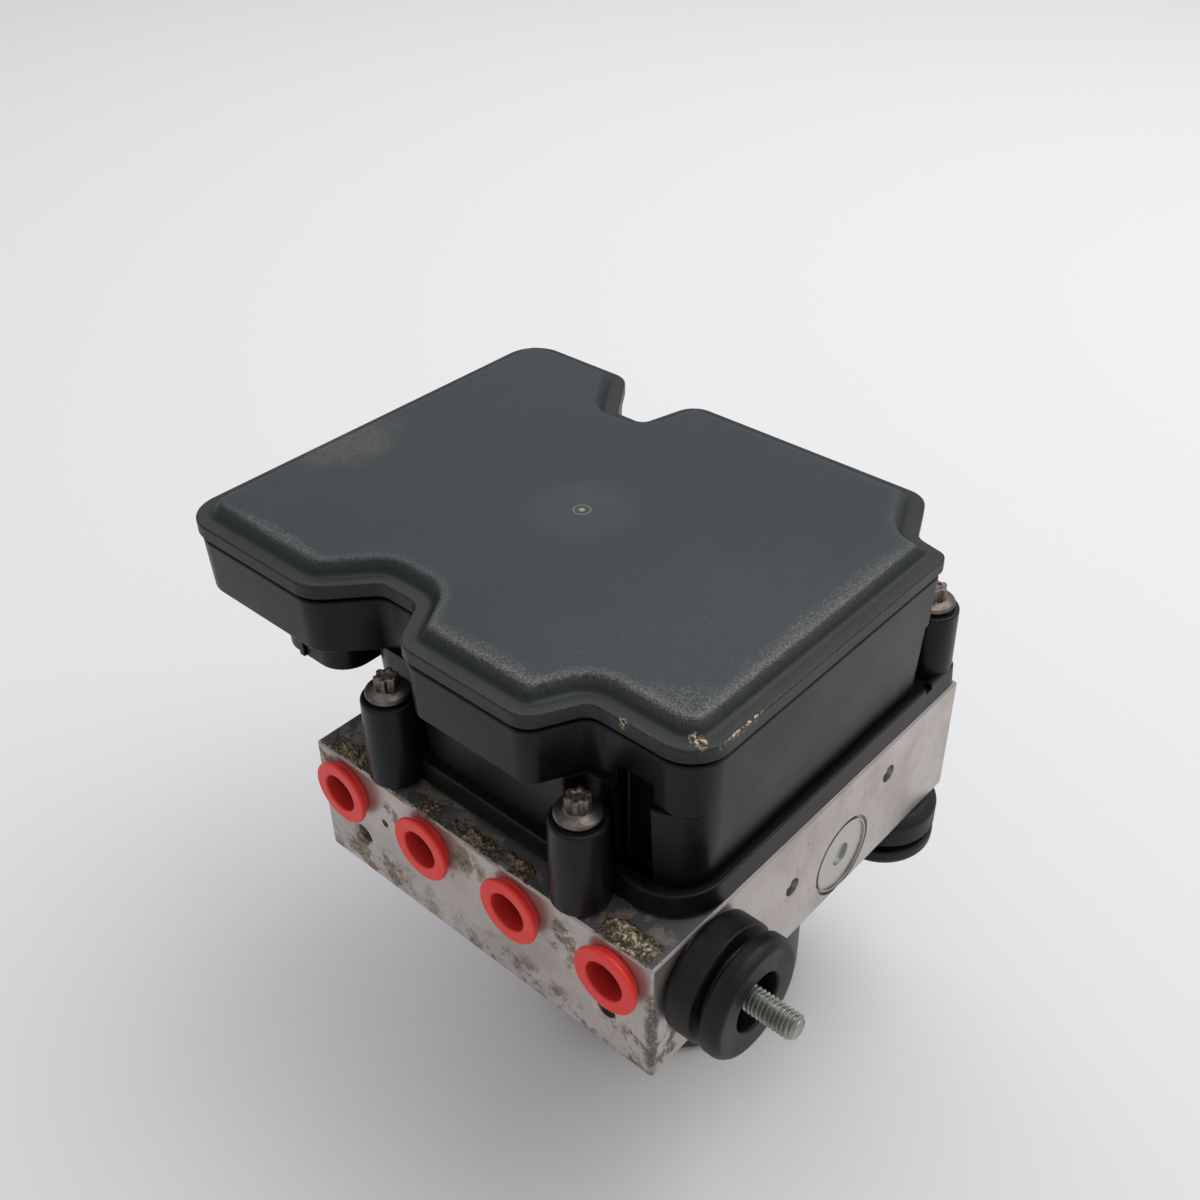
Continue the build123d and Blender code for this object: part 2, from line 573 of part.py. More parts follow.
# --- Pump and accumulators -------------------------------------------------------------------------------
for side, sign in SIDES.items():
    pump_axis = side_plane(sign, 0, PUMP_LEVEL)
    cover_end = -PUMP_COVER_RECESS - PUMP_COVER_THICKNESS
    with BuildPart() as pump_cover:
        disc(pump_axis, PUMP_COVER_RADIUS, cover_end, -PUMP_COVER_RECESS)
        disc(pump_axis, PUMP_COVER_DIMPLE, -PUMP_COVER_RECESS - STAKE_DEPTH, -PUMP_COVER_RECESS, Mode.SUBTRACT)
    save(pump_cover.part, f"pump_cover_{side}")

    bore = PISTON_RADIUS + RUNNING_CLEARANCE
    chamber_end = PISTON_START + PISTON_LENGTH + PUMP_SPRING_LENGTH - SIDE
    with BuildPart() as pump_cylinder:
        disc(pump_axis, PUMP_BORE_RADIUS, CYLINDER_START - SIDE, cover_end)
        disc(pump_axis, bore, CYLINDER_START - SIDE, chamber_end, Mode.SUBTRACT)
    save(pump_cylinder.part, f"pump_cylinder_{side}")

    with BuildPart() as pump_piston:
        disc(pump_axis, PISTON_RADIUS, PISTON_START - SIDE, PISTON_START + PISTON_LENGTH - SIDE)
        chamfer(pump_piston.edges().filter_by(GeomType.CIRCLE), length=PISTON_BEVEL)
    save(pump_piston.part, f"pump_piston_{side}")

    spring_seat = Plane(origin=(sign * (PISTON_START + PISTON_LENGTH), 0, PUMP_LEVEL), z_dir=(sign, 0, 0))
    spring(f"pump_spring_{side}", spring_seat, PUMP_SPRING_LENGTH, PUMP_SPRING_RADIUS, PUMP_SPRING_WIRE, 4)

    reservoir = back_plane(sign * ACCUMULATOR_PITCH / 2, ACCUMULATOR_LEVEL)
    lid_seat = -ACCUMULATOR_COVER_RECESS - ACCUMULATOR_COVER_THICKNESS
    with BuildPart() as accumulator_cover:
        disc(reservoir, ACCUMULATOR_COVER_RADIUS, lid_seat, -ACCUMULATOR_COVER_RECESS)
        chamfer(accumulator_cover.edges().filter_by(GeomType.CIRCLE), length=PISTON_BEVEL)
    save(accumulator_cover.part, f"accumulator_cover_{side}")

    piston_floor = ACCUMULATOR_REST_GAP - ACCUMULATOR_DEPTH
    piston_end = piston_floor + ACCUMULATOR_PISTON_LENGTH
    spring_start = piston_floor + ACCUMULATOR_PISTON_WALL
    piston_radius = ACCUMULATOR_RADIUS - ACCUMULATOR_CLEARANCE
    with BuildPart() as accumulator_piston:
        disc(reservoir, piston_radius, piston_floor, piston_end)
        disc(reservoir, piston_radius - ACCUMULATOR_PISTON_WALL, spring_start, piston_end, Mode.SUBTRACT)
    save(accumulator_piston.part, f"accumulator_piston_{side}")

    spring_seat = Plane(origin=reservoir.from_local_coords((0, 0, spring_start)), z_dir=(0, 1, 0))
    spring_radius = piston_radius - ACCUMULATOR_PISTON_WALL - 2 * ACCUMULATOR_SPRING_WIRE
    spring_length = lid_seat - spring_start
    spring(f"accumulator_spring_{side}", spring_seat, spring_length, spring_radius, ACCUMULATOR_SPRING_WIRE, 4)

# --- Solenoid valves -------------------------------------------------------------------------------------
CHAMBER_RADIUS = DOME_RADIUS - DOME_WALL
PLUNGER_RADIUS = CHAMBER_RADIUS - PLUNGER_CLEARANCE
NEEDLE_BORE = NEEDLE_RADIUS + NEEDLE_CLEARANCE
SEAT_REACH = -VALVE_DEPTH / 2
PLUNGER_FOOT = VALVE_COLLAR_HEIGHT + PLUNGER_TRAVEL + PLUNGER_CLEARANCE
VALVE_PROFILE = [
    (VALVE_SEAT_RADIUS, -VALVE_DEPTH),
    (VALVE_RADIUS, -VALVE_DEPTH),
    (VALVE_RADIUS, 0),
    (VALVE_COLLAR_RADIUS, 0),
    (VALVE_COLLAR_RADIUS, VALVE_COLLAR_HEIGHT),
    (DOME_RADIUS, VALVE_COLLAR_HEIGHT),
    (DOME_RADIUS, DOME_HEIGHT - DOME_BEVEL),
    (DOME_RADIUS - DOME_BEVEL, DOME_HEIGHT),
    (0, DOME_HEIGHT),
    (0, DOME_HEIGHT - DOME_TOP),
    (CHAMBER_RADIUS, DOME_HEIGHT - DOME_TOP),
    (CHAMBER_RADIUS, VALVE_COLLAR_HEIGHT),
    (NEEDLE_BORE, VALVE_COLLAR_HEIGHT),
    (NEEDLE_BORE, SEAT_REACH),
    (VALVE_SEAT_RADIUS, SEAT_REACH),
]
for row, y, lift in (("inlet", INLET_ROW, PLUNGER_TRAVEL), ("outlet", OUTLET_ROW, 0.0)):
    for number, x in enumerate(VALVE_XS, start=1):
        valve_axis = top_plane(x, y)
        with BuildPart() as valve:
            turn(valve_axis, VALVE_PROFILE)
        save(valve.part, f"{row}_valve_{number}")

        needle_foot = SEAT_REACH + PLUNGER_CLEARANCE + lift
        armature_foot = PLUNGER_FOOT + lift
        with BuildPart() as plunger:
            disc(valve_axis, NEEDLE_RADIUS, needle_foot, armature_foot)
            disc(valve_axis, PLUNGER_RADIUS, armature_foot, armature_foot + PLUNGER_LENGTH)
        save(plunger.part, f"{row}_plunger_{number}")

    coil_bore = DOME_RADIUS + COIL_CLEARANCE
    winding_radius = COIL_RADIUS - COIL_WINDING_INSET
    with BuildPart() as coils:
        for x in VALVE_XS:
            coil_axis = top_plane(x, y, FLOOR_TOP)
            ring(coil_axis, coil_bore, COIL_RADIUS, 0, COIL_FLANGE)
            ring(coil_axis, coil_bore, winding_radius, COIL_FLANGE, COIL_HEIGHT - COIL_FLANGE)
            ring(coil_axis, coil_bore, COIL_RADIUS, COIL_HEIGHT - COIL_FLANGE, COIL_HEIGHT)
            for offset_x in (-COIL_PIN_OFFSET, COIL_PIN_OFFSET):
                pin_axis = top_plane(x + offset_x, y, FLOOR_TOP)
                disc(pin_axis, COIL_PIN_RADIUS, COIL_HEIGHT - COIL_FLANGE, BOARD_TOP + PIN_STICK - FLOOR_TOP)
    save(coils.part, f"{row}_coils")

# --- Motor -----------------------------------------------------------------------------------------------
MOTOR_AXIS = top_plane(0, 0, 0)
CAN_TOP = MOTOR_LENGTH - END_PLATE_THICKNESS
CAN_BORE = CAN_RADIUS - CAN_WALL
BEARING_FOOT = CAN_WALL + SHAFT_END_GAP
with BuildPart() as motor_can:
    disc(MOTOR_AXIS, CAN_RADIUS, 0, CAN_TOP)
    fillet(motor_can.faces().sort_by(Axis.Z)[0].edges(), radius=CAN_CORNER)
    disc(MOTOR_AXIS, CAN_BORE, CAN_WALL, CAN_TOP, Mode.SUBTRACT)
    ring(MOTOR_AXIS, BEARING_RADIUS + PRESS_CLEARANCE, BEARING_RADIUS + CAN_WALL, CAN_WALL, BEARING_FOOT + BEARING_HEIGHT)
save(motor_can.part, "motor_can")

NOSE_TOP = MOTOR_FACE + NOSE_HEIGHT
with BuildPart() as motor_end_plate:
    with BuildSketch(Plane.XY.offset(CAN_TOP)) as plate_face:
        Circle(END_PLATE_RADIUS)
        for x, y in EARS:
            with Locations((x, y)):
                Circle(EAR_RADIUS)
            with Locations(Location((0.9 * x, 0.9 * y), degrees(atan2(y, x)))):
                Rectangle(EAR_CIRCLE * 0.2, 2 * EAR_RADIUS)
    extrude(amount=END_PLATE_THICKNESS)
    disc(MOTOR_AXIS, MOTOR_BORE_RADIUS - PRESS_CLEARANCE, MOTOR_FACE, NOSE_TOP)
    disc(MOTOR_AXIS, NOSE_BEARING_RADIUS + PRESS_CLEARANCE, NOSE_TOP - NOSE_BEARING_HEIGHT, NOSE_TOP, Mode.SUBTRACT)
    disc(MOTOR_AXIS, SHAFT_RADIUS + 1, CAN_TOP, NOSE_TOP, Mode.SUBTRACT)
    disc(top_plane(0, TERMINAL_BACK, CAN_TOP), TERMINAL_BORE_RADIUS, 0, END_PLATE_THICKNESS, Mode.SUBTRACT)
    for x, y in EARS:
        disc(top_plane(x, y, CAN_TOP), MOTOR_SCREW_RADIUS + PRESS_CLEARANCE, 0, END_PLATE_THICKNESS, Mode.SUBTRACT)
save(motor_end_plate.part, "motor_end_plate")

MAGNET_RADIUS = CAN_BORE - PRESS_CLEARANCE
MAGNET_BORE = MAGNET_RADIUS - MAGNET_THICKNESS
with BuildPart() as motor_magnets:
    with BuildSketch(Plane.XY.offset(MAGNET_FOOT)):
        Circle(MAGNET_RADIUS)
        Circle(MAGNET_BORE, mode=Mode.SUBTRACT)
        for quarter in (0, 180):
            with Locations(Location((0, 0), quarter)):
                gap = MAGNET_RADIUS * tan(radians((180 - MAGNET_ARC) / 2))
                Polygon((0, 0), (2 * MAGNET_RADIUS, -2 * gap), (2 * MAGNET_RADIUS, 2 * gap), align=None, mode=Mode.SUBTRACT)
    extrude(amount=MAGNET_HEIGHT)
save(motor_magnets.part, "motor_magnets")

CORE_RADIUS = MAGNET_BORE - AIR_GAP
SLOT_FLOOR = CORE_RADIUS - CORE_SLOT_DEPTH
WINDING_RADIUS = CORE_RADIUS - COIL_FLANGE
CORE_TOP = CORE_FOOT + CORE_HEIGHT
SHAFT_BORE = SHAFT_RADIUS + PRESS_CLEARANCE
with BuildPart() as armature:
    with BuildSketch(Plane.XY.offset(CORE_FOOT)):
        Circle(CORE_RADIUS)
        with PolarLocations(CORE_RADIUS, CORE_SLOTS):
            Rectangle(2 * CORE_SLOT_DEPTH, CORE_SLOT_WIDTH, mode=Mode.SUBTRACT)
    extrude(amount=CORE_HEIGHT)
    disc(MOTOR_AXIS, SLOT_FLOOR + WINDING_BULGE, CORE_FOOT - WINDING_HEIGHT, CORE_TOP + WINDING_HEIGHT)
    disc(MOTOR_AXIS, COMMUTATOR_RADIUS, CORE_TOP + WINDING_HEIGHT, CORE_TOP + WINDING_HEIGHT + COMMUTATOR_HEIGHT)
    disc(MOTOR_AXIS, SHAFT_BORE, 0, MOTOR_LENGTH, Mode.SUBTRACT)
save(armature.part, "armature")

ECCENTRIC_AXIS = top_plane(0, ECCENTRICITY, PUMP_LEVEL)
LOBE_HALF = ECCENTRIC_BEARING_HEIGHT / 2
with BuildPart() as motor_shaft:
    disc(MOTOR_AXIS, SHAFT_RADIUS, BEARING_FOOT, MOTOR_FACE + MOTOR_BORE_DEPTH - SHAFT_TOP_GAP)
    disc(ECCENTRIC_AXIS, ECCENTRIC_RADIUS, -LOBE_HALF, LOBE_HALF)
save(motor_shaft.part, "motor_shaft")

with BuildPart() as motor_bearings:
    journal = SHAFT_RADIUS + RUNNING_CLEARANCE
    ring(MOTOR_AXIS, journal, BEARING_RADIUS, BEARING_FOOT, BEARING_FOOT + BEARING_HEIGHT)
    ring(MOTOR_AXIS, journal, NOSE_BEARING_RADIUS, NOSE_TOP - NOSE_BEARING_HEIGHT, NOSE_TOP)
save(motor_bearings.part, "motor_bearings")

with BuildPart() as eccentric_bearing:
    ring(ECCENTRIC_AXIS, ECCENTRIC_RADIUS + PRESS_CLEARANCE, ECCENTRIC_BEARING_RADIUS, -LOBE_HALF, LOBE_HALF)
save(eccentric_bearing.part, "eccentric_bearing")

BRUSH_LEVEL = CORE_TOP + WINDING_HEIGHT + COMMUTATOR_HEIGHT / 2
BRUSH_PLATE_TOP = CAN_TOP - BRUSH_PLATE_GAP
BRUSH_PLATE_BOTTOM = BRUSH_PLATE_TOP - BRUSH_PLATE_THICKNESS
with BuildPart() as brush_gear:
    ring(MOTOR_AXIS, SHAFT_RADIUS + 2, CAN_BORE - PRESS_CLEARANCE, BRUSH_PLATE_BOTTOM, BRUSH_PLATE_TOP)
    disc(top_plane(0, TERMINAL_BACK, 0), TERMINAL_RADIUS, BRUSH_PLATE_TOP, BOARD_BOTTOM)
    for sign in SIDES.values():
        with BuildSketch(Plane.YZ.offset(sign * (COMMUTATOR_RADIUS + BRUSH_GAP))) as brush_face:
            with Locations((0, (BRUSH_LEVEL + BRUSH_PLATE_BOTTOM) / 2 - BRUSH_SIDE / 4)):
                Rectangle(BRUSH_SIDE, BRUSH_PLATE_BOTTOM - BRUSH_LEVEL + BRUSH_SIDE / 2)
        extrude(brush_face.sketch, amount=sign * BRUSH_LENGTH)
save(brush_gear.part, "brush_gear")

with BuildPart() as motor_screws:
    for x, y in EARS:
        screw_axis = under_plane(x, y, CAN_TOP)
        disc(screw_axis, MOTOR_SCREW_HEAD_RADIUS, 0, MOTOR_SCREW_HEAD_HEIGHT)
        disc(screw_axis, MOTOR_SCREW_RADIUS, 0, -END_PLATE_THICKNESS - MOTOR_SCREW_DEPTH)
        disc(screw_axis, STAR_CORE_RADIUS, MOTOR_SCREW_HEAD_HEIGHT / 2, MOTOR_SCREW_HEAD_HEIGHT, Mode.SUBTRACT)
save(motor_screws.part, "motor_screws")

# --- Controller housing ----------------------------------------------------------------------------------
UPPER_SPREAD = (WALL_TOP - TIER) * tan(radians(UPPER_DRAFT))
UPPER_CAVITY = HOUSING_INSET + WALL_THICKNESS
SOCKET_FLOOR_TOP = OVERHANG_FLOOR + SOCKET_FLOOR
with BuildPart() as ecu_housing:
    slab(foot_corners(), 0, FOOT_BOTTOM, FOOT_TOP)
    with BuildSketch(Plane.XY.offset(FOOT_BOTTOM)):
        with Locations((0, FRONT + FOOT_FRONT_INSET + FOOT_CORNER / 2)):
            Rectangle(FRONT_TOWER_PITCH, FOOT_CORNER)
    extrude(amount=FOOT_TOP - FOOT_BOTTOM)
    slab(foot_corners(), FOOT_RIM, FOOT_TOP - FOOT_GROOVE_DEPTH, FOOT_TOP, mode=Mode.SUBTRACT)
    with BuildSketch(Plane.XY.offset(FOOT_BOTTOM)):
        with Locations(*TOWERS):
            Circle(TOWER_RADIUS)
    extrude(amount=TOWER_TOP - FOOT_BOTTOM)
    slab(lower_corners(), 0, FOOT_BOTTOM, TIER, -LOWER_DRAFT)
    slab(cover_corners(), HOUSING_INSET + UPPER_SPREAD, TIER, WALL_TOP, -UPPER_DRAFT)
    slab(lower_corners(), WALL_THICKNESS, FLOOR_TOP, OVERHANG_FLOOR, -LOWER_DRAFT, Mode.SUBTRACT)
    slab(cover_corners(), UPPER_CAVITY + BOARD_LEDGE, OVERHANG_FLOOR, BOARD_BOTTOM, mode=Mode.SUBTRACT)
    slab(cover_corners(), UPPER_CAVITY, BOARD_BOTTOM, WALL_TOP, mode=Mode.SUBTRACT)
    with BuildSketch(Plane.XY.offset(SOCKET_BOTTOM)):
        with Locations(SOCKET_CENTRE):
            RectangleRounded(SOCKET_WIDTH, SOCKET_LENGTH, SOCKET_CORNER)
    extrude(amount=SOCKET_FLOOR_TOP - SOCKET_BOTTOM)
    with BuildSketch(Plane.XY.offset(SOCKET_BOTTOM)):
        with Locations(SOCKET_CENTRE):
            RectangleRounded(SOCKET_WIDTH - 2 * SOCKET_WALL, SOCKET_LENGTH - 2 * SOCKET_WALL, SOCKET_CORNER - SOCKET_WALL)
    extrude(amount=OVERHANG_FLOOR - SOCKET_BOTTOM, mode=Mode.SUBTRACT)
    for x, y in TOWERS:
        tower_axis = top_plane(x, y, FOOT_BOTTOM)
        disc(tower_axis, SLEEVE_RADIUS + PRESS_CLEARANCE, 0, TOWER_TOP - FOOT_BOTTOM, Mode.SUBTRACT)
        disc(tower_axis, TOWER_DISH_RADIUS, SCREW_SEAT - FOOT_BOTTOM, TOWER_TOP - FOOT_BOTTOM, Mode.SUBTRACT)
    for x in VALVE_XS:
        for y in (INLET_ROW, OUTLET_ROW):
            disc(top_plane(x, y, FOOT_BOTTOM), VALVE_COLLAR_RADIUS + COIL_CLEARANCE, 0, FLOOR_THICKNESS, Mode.SUBTRACT)
    disc(top_plane(0, TERMINAL_BACK, FOOT_BOTTOM), TERMINAL_BORE_RADIUS, 0, FLOOR_THICKNESS, Mode.SUBTRACT)
    pin_floor = Plane.XY.offset(OVERHANG_FLOOR)
    with BuildSketch(pin_floor):
        with Locations(SOCKET_CENTRE):
            with GridLocations(PIN_ROW_PITCH, PIN_PITCH, PIN_ROWS, PIN_COLUMNS):
                Rectangle(PIN_SIDE, PIN_SIDE)
            with GridLocations(PIN_ROW_PITCH * 2, BLADE_SPAN, 2, 2):
                Rectangle(BLADE_WIDTH, BLADE_THICKNESS)
    extrude(amount=SOCKET_FLOOR, mode=Mode.SUBTRACT)
save(ecu_housing.part, "ecu_housing")

with BuildPart() as connector_pins:
    with BuildSketch(Plane.XY.offset(OVERHANG_FLOOR - PIN_REACH)):
        with Locations(SOCKET_CENTRE):
            with GridLocations(PIN_ROW_PITCH, PIN_PITCH, PIN_ROWS, PIN_COLUMNS):
                Rectangle(PIN_SIDE, PIN_SIDE)
    extrude(amount=BOARD_TOP + PIN_STICK - OVERHANG_FLOOR + PIN_REACH)
    with BuildSketch(Plane.XY.offset(OVERHANG_FLOOR - PIN_REACH)):
        with Locations(SOCKET_CENTRE):
            with GridLocations(PIN_ROW_PITCH * 2, BLADE_SPAN, 2, 2):
                Rectangle(BLADE_WIDTH, BLADE_THICKNESS)
    extrude(amount=BOARD_BOTTOM - OVERHANG_FLOOR + PIN_REACH)
save(connector_pins.part, "connector_pins")

with BuildPart() as circuit_board:
    slab(cover_corners(), UPPER_CAVITY + BOARD_GAP, BOARD_BOTTOM, BOARD_TOP)
    with BuildSketch(Plane.XY.offset(BOARD_BOTTOM)):
        with Locations(SOCKET_CENTRE):
            with GridLocations(PIN_ROW_PITCH, PIN_PITCH, PIN_ROWS, PIN_COLUMNS):
                Rectangle(PIN_SIDE, PIN_SIDE)
        for y in (INLET_ROW, OUTLET_ROW):
            for x in VALVE_XS:
                with Locations((x - COIL_PIN_OFFSET, y), (x + COIL_PIN_OFFSET, y)):
                    Circle(COIL_PIN_RADIUS + PRESS_CLEARANCE)
    extrude(amount=BOARD_THICKNESS, mode=Mode.SUBTRACT)
    for x, y, length, width, height in CHIPS:
        with BuildSketch(Plane.XY.offset(BOARD_TOP)):
            with Locations((x, y)):
                Rectangle(length, width)
        extrude(amount=height)
save(circuit_board.part, "circuit_board")

# --- Seals, sleeves and screws ---------------------------------------------------------------------------
with BuildPart() as block_seal:
    slab(lower_corners(), BLOCK_SEAL_INSET, BLOCK_TOP, FOOT_BOTTOM)
    slab(lower_corners(), BLOCK_SEAL_INSET + SEAL_WIDTH, BLOCK_TOP, FOOT_BOTTOM, mode=Mode.SUBTRACT)
save(block_seal.part, "block_seal")

with BuildPart() as cover_seal:
    slab(cover_corners(), HOUSING_INSET + COVER_SEAL_INSET, WALL_TOP, COVER_BOTTOM)
    slab(cover_corners(), UPPER_CAVITY, WALL_TOP, COVER_BOTTOM, mode=Mode.SUBTRACT)
save(cover_seal.part, "cover_seal")

with BuildPart() as screw_sleeves:
    for x, y in TOWERS:
        ring(top_plane(x, y), SLEEVE_BORE_RADIUS, SLEEVE_RADIUS, 0, SCREW_SEAT - BLOCK_TOP)
save(screw_sleeves.part, "screw_sleeves")

with BuildPart() as ecu_screws:
    for x, y in TOWERS:
        screw_axis = top_plane(x, y, SCREW_SEAT)
        cone = SCREW_FLANGE_THICKNESS + SCREW_CONE_HEIGHT
        turn(
            screw_axis,
            [
                (0, BLOCK_TOP - SCREW_SEAT - SCREW_DEPTH),
                (SCREW_RADIUS, BLOCK_TOP - SCREW_SEAT - SCREW_DEPTH),
                (SCREW_RADIUS, 0),
                (SCREW_FLANGE_RADIUS, 0),
                (SCREW_FLANGE_RADIUS, SCREW_FLANGE_THICKNESS),
                (STAR_CORE_RADIUS + STAR_LOBE_RADIUS, cone),
                (0, cone),
            ],
        )
        with BuildSketch(screw_axis.offset(cone)) as star:
            Circle(STAR_CORE_RADIUS)
            with PolarLocations(STAR_CORE_RADIUS, STAR_LOBES):
                Circle(STAR_LOBE_RADIUS)
        extrude(star.sketch, amount=STAR_HEIGHT)
save(ecu_screws.part, "ecu_screws")

# --- Cover -----------------------------------------------------------------------------------------------
PLATEAU_TOP = RIM_TOP + PLATEAU_HEIGHT
slope = degrees(atan2(PLATEAU_SLOPE_WIDTH, PLATEAU_HEIGHT))
with BuildPart() as ecu_cover:
    slab(cover_corners(), 0, COVER_BOTTOM, RIM_TOP)
    slab(cover_corners(), RIM_WIDTH, RIM_TOP, PLATEAU_TOP, slope)
    slab(cover_corners(), UPPER_CAVITY, COVER_BOTTOM, RIM_TOP - COVER_SHELL, mode=Mode.SUBTRACT)
    slab(cover_corners(), RIM_WIDTH + COVER_SHELL, RIM_TOP - COVER_SHELL, PLATEAU_TOP - COVER_SHELL, slope, Mode.SUBTRACT)
    gate = top_plane(-GATE_LEFT, -GATE_FRONT, PLATEAU_TOP)
    ring(gate, GATE_RADIUS - GATE_GROOVE, GATE_RADIUS, 0, -GATE_GROOVE, Mode.SUBTRACT)
save(ecu_cover.part, "ecu_cover")

# --- Bushes and studs ------------------------------------------------------------------------------------
BUSH_PROFILE = [
    (M6_RADIUS + BUSH_BORE_CLEARANCE, 0),
    (BUSH_FOOT_RADIUS, 0),
    (BUSH_RADIUS, BUSH_FOOT_HEIGHT),
    (BUSH_RADIUS, BUSH_GROOVE_START - BUSH_EDGE),
    (BUSH_RADIUS - BUSH_EDGE, BUSH_GROOVE_START),
    (BUSH_NECK_RADIUS, BUSH_GROOVE_START),
    (BUSH_NECK_RADIUS, BUSH_GROOVE_END),
    (BUSH_RADIUS - BUSH_EDGE, BUSH_GROOVE_END),
    (BUSH_RADIUS, BUSH_GROOVE_END + BUSH_EDGE),
    (BUSH_RADIUS, BUSH_LENGTH - BUSH_EDGE - (BUSH_RADIUS - BUSH_FACE_RADIUS)),
    (BUSH_FACE_RADIUS, BUSH_LENGTH),
    (BUSH_MOUTH_RADIUS, BUSH_LENGTH),
    (BUSH_MOUTH_RADIUS, BUSH_LENGTH - BUSH_MOUTH_DEPTH),
    (M6_RADIUS + BUSH_BORE_CLEARANCE, BUSH_LENGTH - BUSH_MOUTH_DEPTH),
]
BUSH_SEATS = {
    "side_bush": side_plane(1, SIDE_BUSH_Y, SIDE_BUSH_LEVEL),
    "bottom_bush": under_plane(BOTTOM_BUSH_X, BOTTOM_BUSH_Y),
}
for name, seat in BUSH_SEATS.items():
    with BuildPart() as bush:
        turn(seat, BUSH_PROFILE)
    save(bush.part, name)

with BuildPart() as mount_studs:
    for seat in BUSH_SEATS.values():
        collar_foot = BUSH_LENGTH - BUSH_MOUTH_DEPTH
        disc(seat, M6_RADIUS, -STUD_HOLE_DEPTH, STUD_REACH - STUD_POINT)
        disc(seat, STUD_COLLAR_RADIUS, collar_foot, collar_foot + STUD_COLLAR_HEIGHT)
        point = M6_RADIUS - STUD_POINT
        turn(seat, [(0, STUD_REACH - STUD_POINT), (M6_RADIUS, STUD_REACH - STUD_POINT), (point, STUD_REACH), (0, STUD_REACH)])
save(mount_studs.part, "mount_studs")
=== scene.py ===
"""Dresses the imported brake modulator: moulded and turned surfaces, finishes, light, floor and camera."""

import logging
import math
from collections.abc import Sequence
from dataclasses import dataclass
from enum import Enum
from functools import reduce

import bmesh
import bpy
import numpy as np
from numpy.typing import NDArray
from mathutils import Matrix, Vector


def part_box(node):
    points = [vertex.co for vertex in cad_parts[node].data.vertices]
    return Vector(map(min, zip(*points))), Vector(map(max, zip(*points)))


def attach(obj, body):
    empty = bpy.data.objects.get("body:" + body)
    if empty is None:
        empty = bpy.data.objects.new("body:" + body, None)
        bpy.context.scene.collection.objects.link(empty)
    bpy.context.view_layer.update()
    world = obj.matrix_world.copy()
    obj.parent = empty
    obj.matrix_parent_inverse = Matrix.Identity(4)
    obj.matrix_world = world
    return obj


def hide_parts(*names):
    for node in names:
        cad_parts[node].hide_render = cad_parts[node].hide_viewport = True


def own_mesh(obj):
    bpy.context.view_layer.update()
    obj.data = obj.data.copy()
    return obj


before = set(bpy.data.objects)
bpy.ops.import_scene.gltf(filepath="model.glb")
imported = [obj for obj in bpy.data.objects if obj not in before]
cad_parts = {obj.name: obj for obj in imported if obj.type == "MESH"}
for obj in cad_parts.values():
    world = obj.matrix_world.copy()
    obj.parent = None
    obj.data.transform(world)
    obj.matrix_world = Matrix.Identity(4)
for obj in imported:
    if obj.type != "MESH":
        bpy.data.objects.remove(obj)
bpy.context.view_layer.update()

LOG = logging.getLogger("modulator")
MM = 0.001
TOWERS = ((27.3, -63.0), (-28.5, -63.0), (43.8, 41.8), (-43.8, 41.8))
BLOCK_FRONT, BLOCK_RIGHT, BLOCK_TOP = -68.6, 51.0, 94.5
LID_TOP = 142.5
GATE = (-19.5, -9.8)
SHARP_ANGLE = math.radians(38)
NOISE_GRID = 64

Array = NDArray[np.float64]
Colour = tuple[float, float, float]
Point = tuple[float, float, float]
Socket = bpy.types.NodeSocket
Source = Socket | float | Sequence[float]
Patch = tuple[Point, Point, float, float]


# ---------------------------------------------------------------------------------------------------------
# Surfaces
# ---------------------------------------------------------------------------------------------------------


def softened(points: Sequence[tuple[float, float]], radius: float, steps: int = 5) -> Array:
    """Round the inner corners of an open profile.

    Each corner C becomes the curve (1-t)^2 A + 2t(1-t) C + t^2 B, whose ends A and B lie on the corner's two
    sides at the radius's distance, or at 45 hundredths of the shorter side where that is less.

    Args:
        points: The profile's corners, in order.
        radius: Distance from each corner at which the rounding starts, in the profile's unit.
        steps: Points along each rounded corner.

    Returns:
        The rounded profile, one row a point.
    """
    sharp = np.asarray(points, dtype=float)
    before, corner, after = sharp[:-2], sharp[1:-1], sharp[2:]
    back, ahead = before - corner, after - corner
    back_length = np.linalg.norm(back, axis=1, keepdims=True)
    ahead_length = np.linalg.norm(ahead, axis=1, keepdims=True)
    reach = np.minimum(radius, 0.45 * np.minimum(back_length, ahead_length))
    start = (corner + back / back_length * reach)[:, None]
    end = (corner + ahead / ahead_length * reach)[:, None]
    t = np.linspace(0.0, 1.0, steps)[None, :, None]
    curves = (1 - t) ** 2 * start + 2 * t * (1 - t) * corner[:, None] + t**2 * end
    return np.concatenate([sharp[:1], curves.reshape(-1, 2), sharp[-1:]])


def section(points: Sequence[tuple[float, float]], radius: float, steps: int = 6) -> Array:
    """Round the corners of a closed section, all but the first, as softened does."""
    return softened([*points, points[0]], radius, steps)[:-1]


@dataclass(frozen=True)
class Seat:
    """A place for a turned piece: where its axis starts, which way it points and a direction across it.

    Attributes:
        origin: Start of the axis, in millimetres.
        axis: Unit vector along the axis, away from what carries the piece.
        across: Unit vector square to the axis, where the angle is zero.
    """

    origin: Point
    axis: Point
    across: Point

    def place(self, radius: Array, reach: Array, angle: Array) -> Array:
        """Points at origin + reach * axis + radius * (cos(angle) * across + sin(angle) * (axis x across)).

        Args:
            radius: Distances from the axis.
            reach: Distances along the axis.
            angle: Angles about the axis, in radians.

        Returns:
            The points, in millimetres, with the coordinates in the last direction of the array.
        """
        axis, across = np.array(self.axis), np.array(self.across)
        side = np.cross(axis, across)
        radius, reach, angle = (value[..., None] for value in np.broadcast_arrays(radius, reach, angle))
        spoke = np.cos(angle) * across + np.sin(angle) * side
        return np.array(self.origin) + reach * axis + radius * spoke


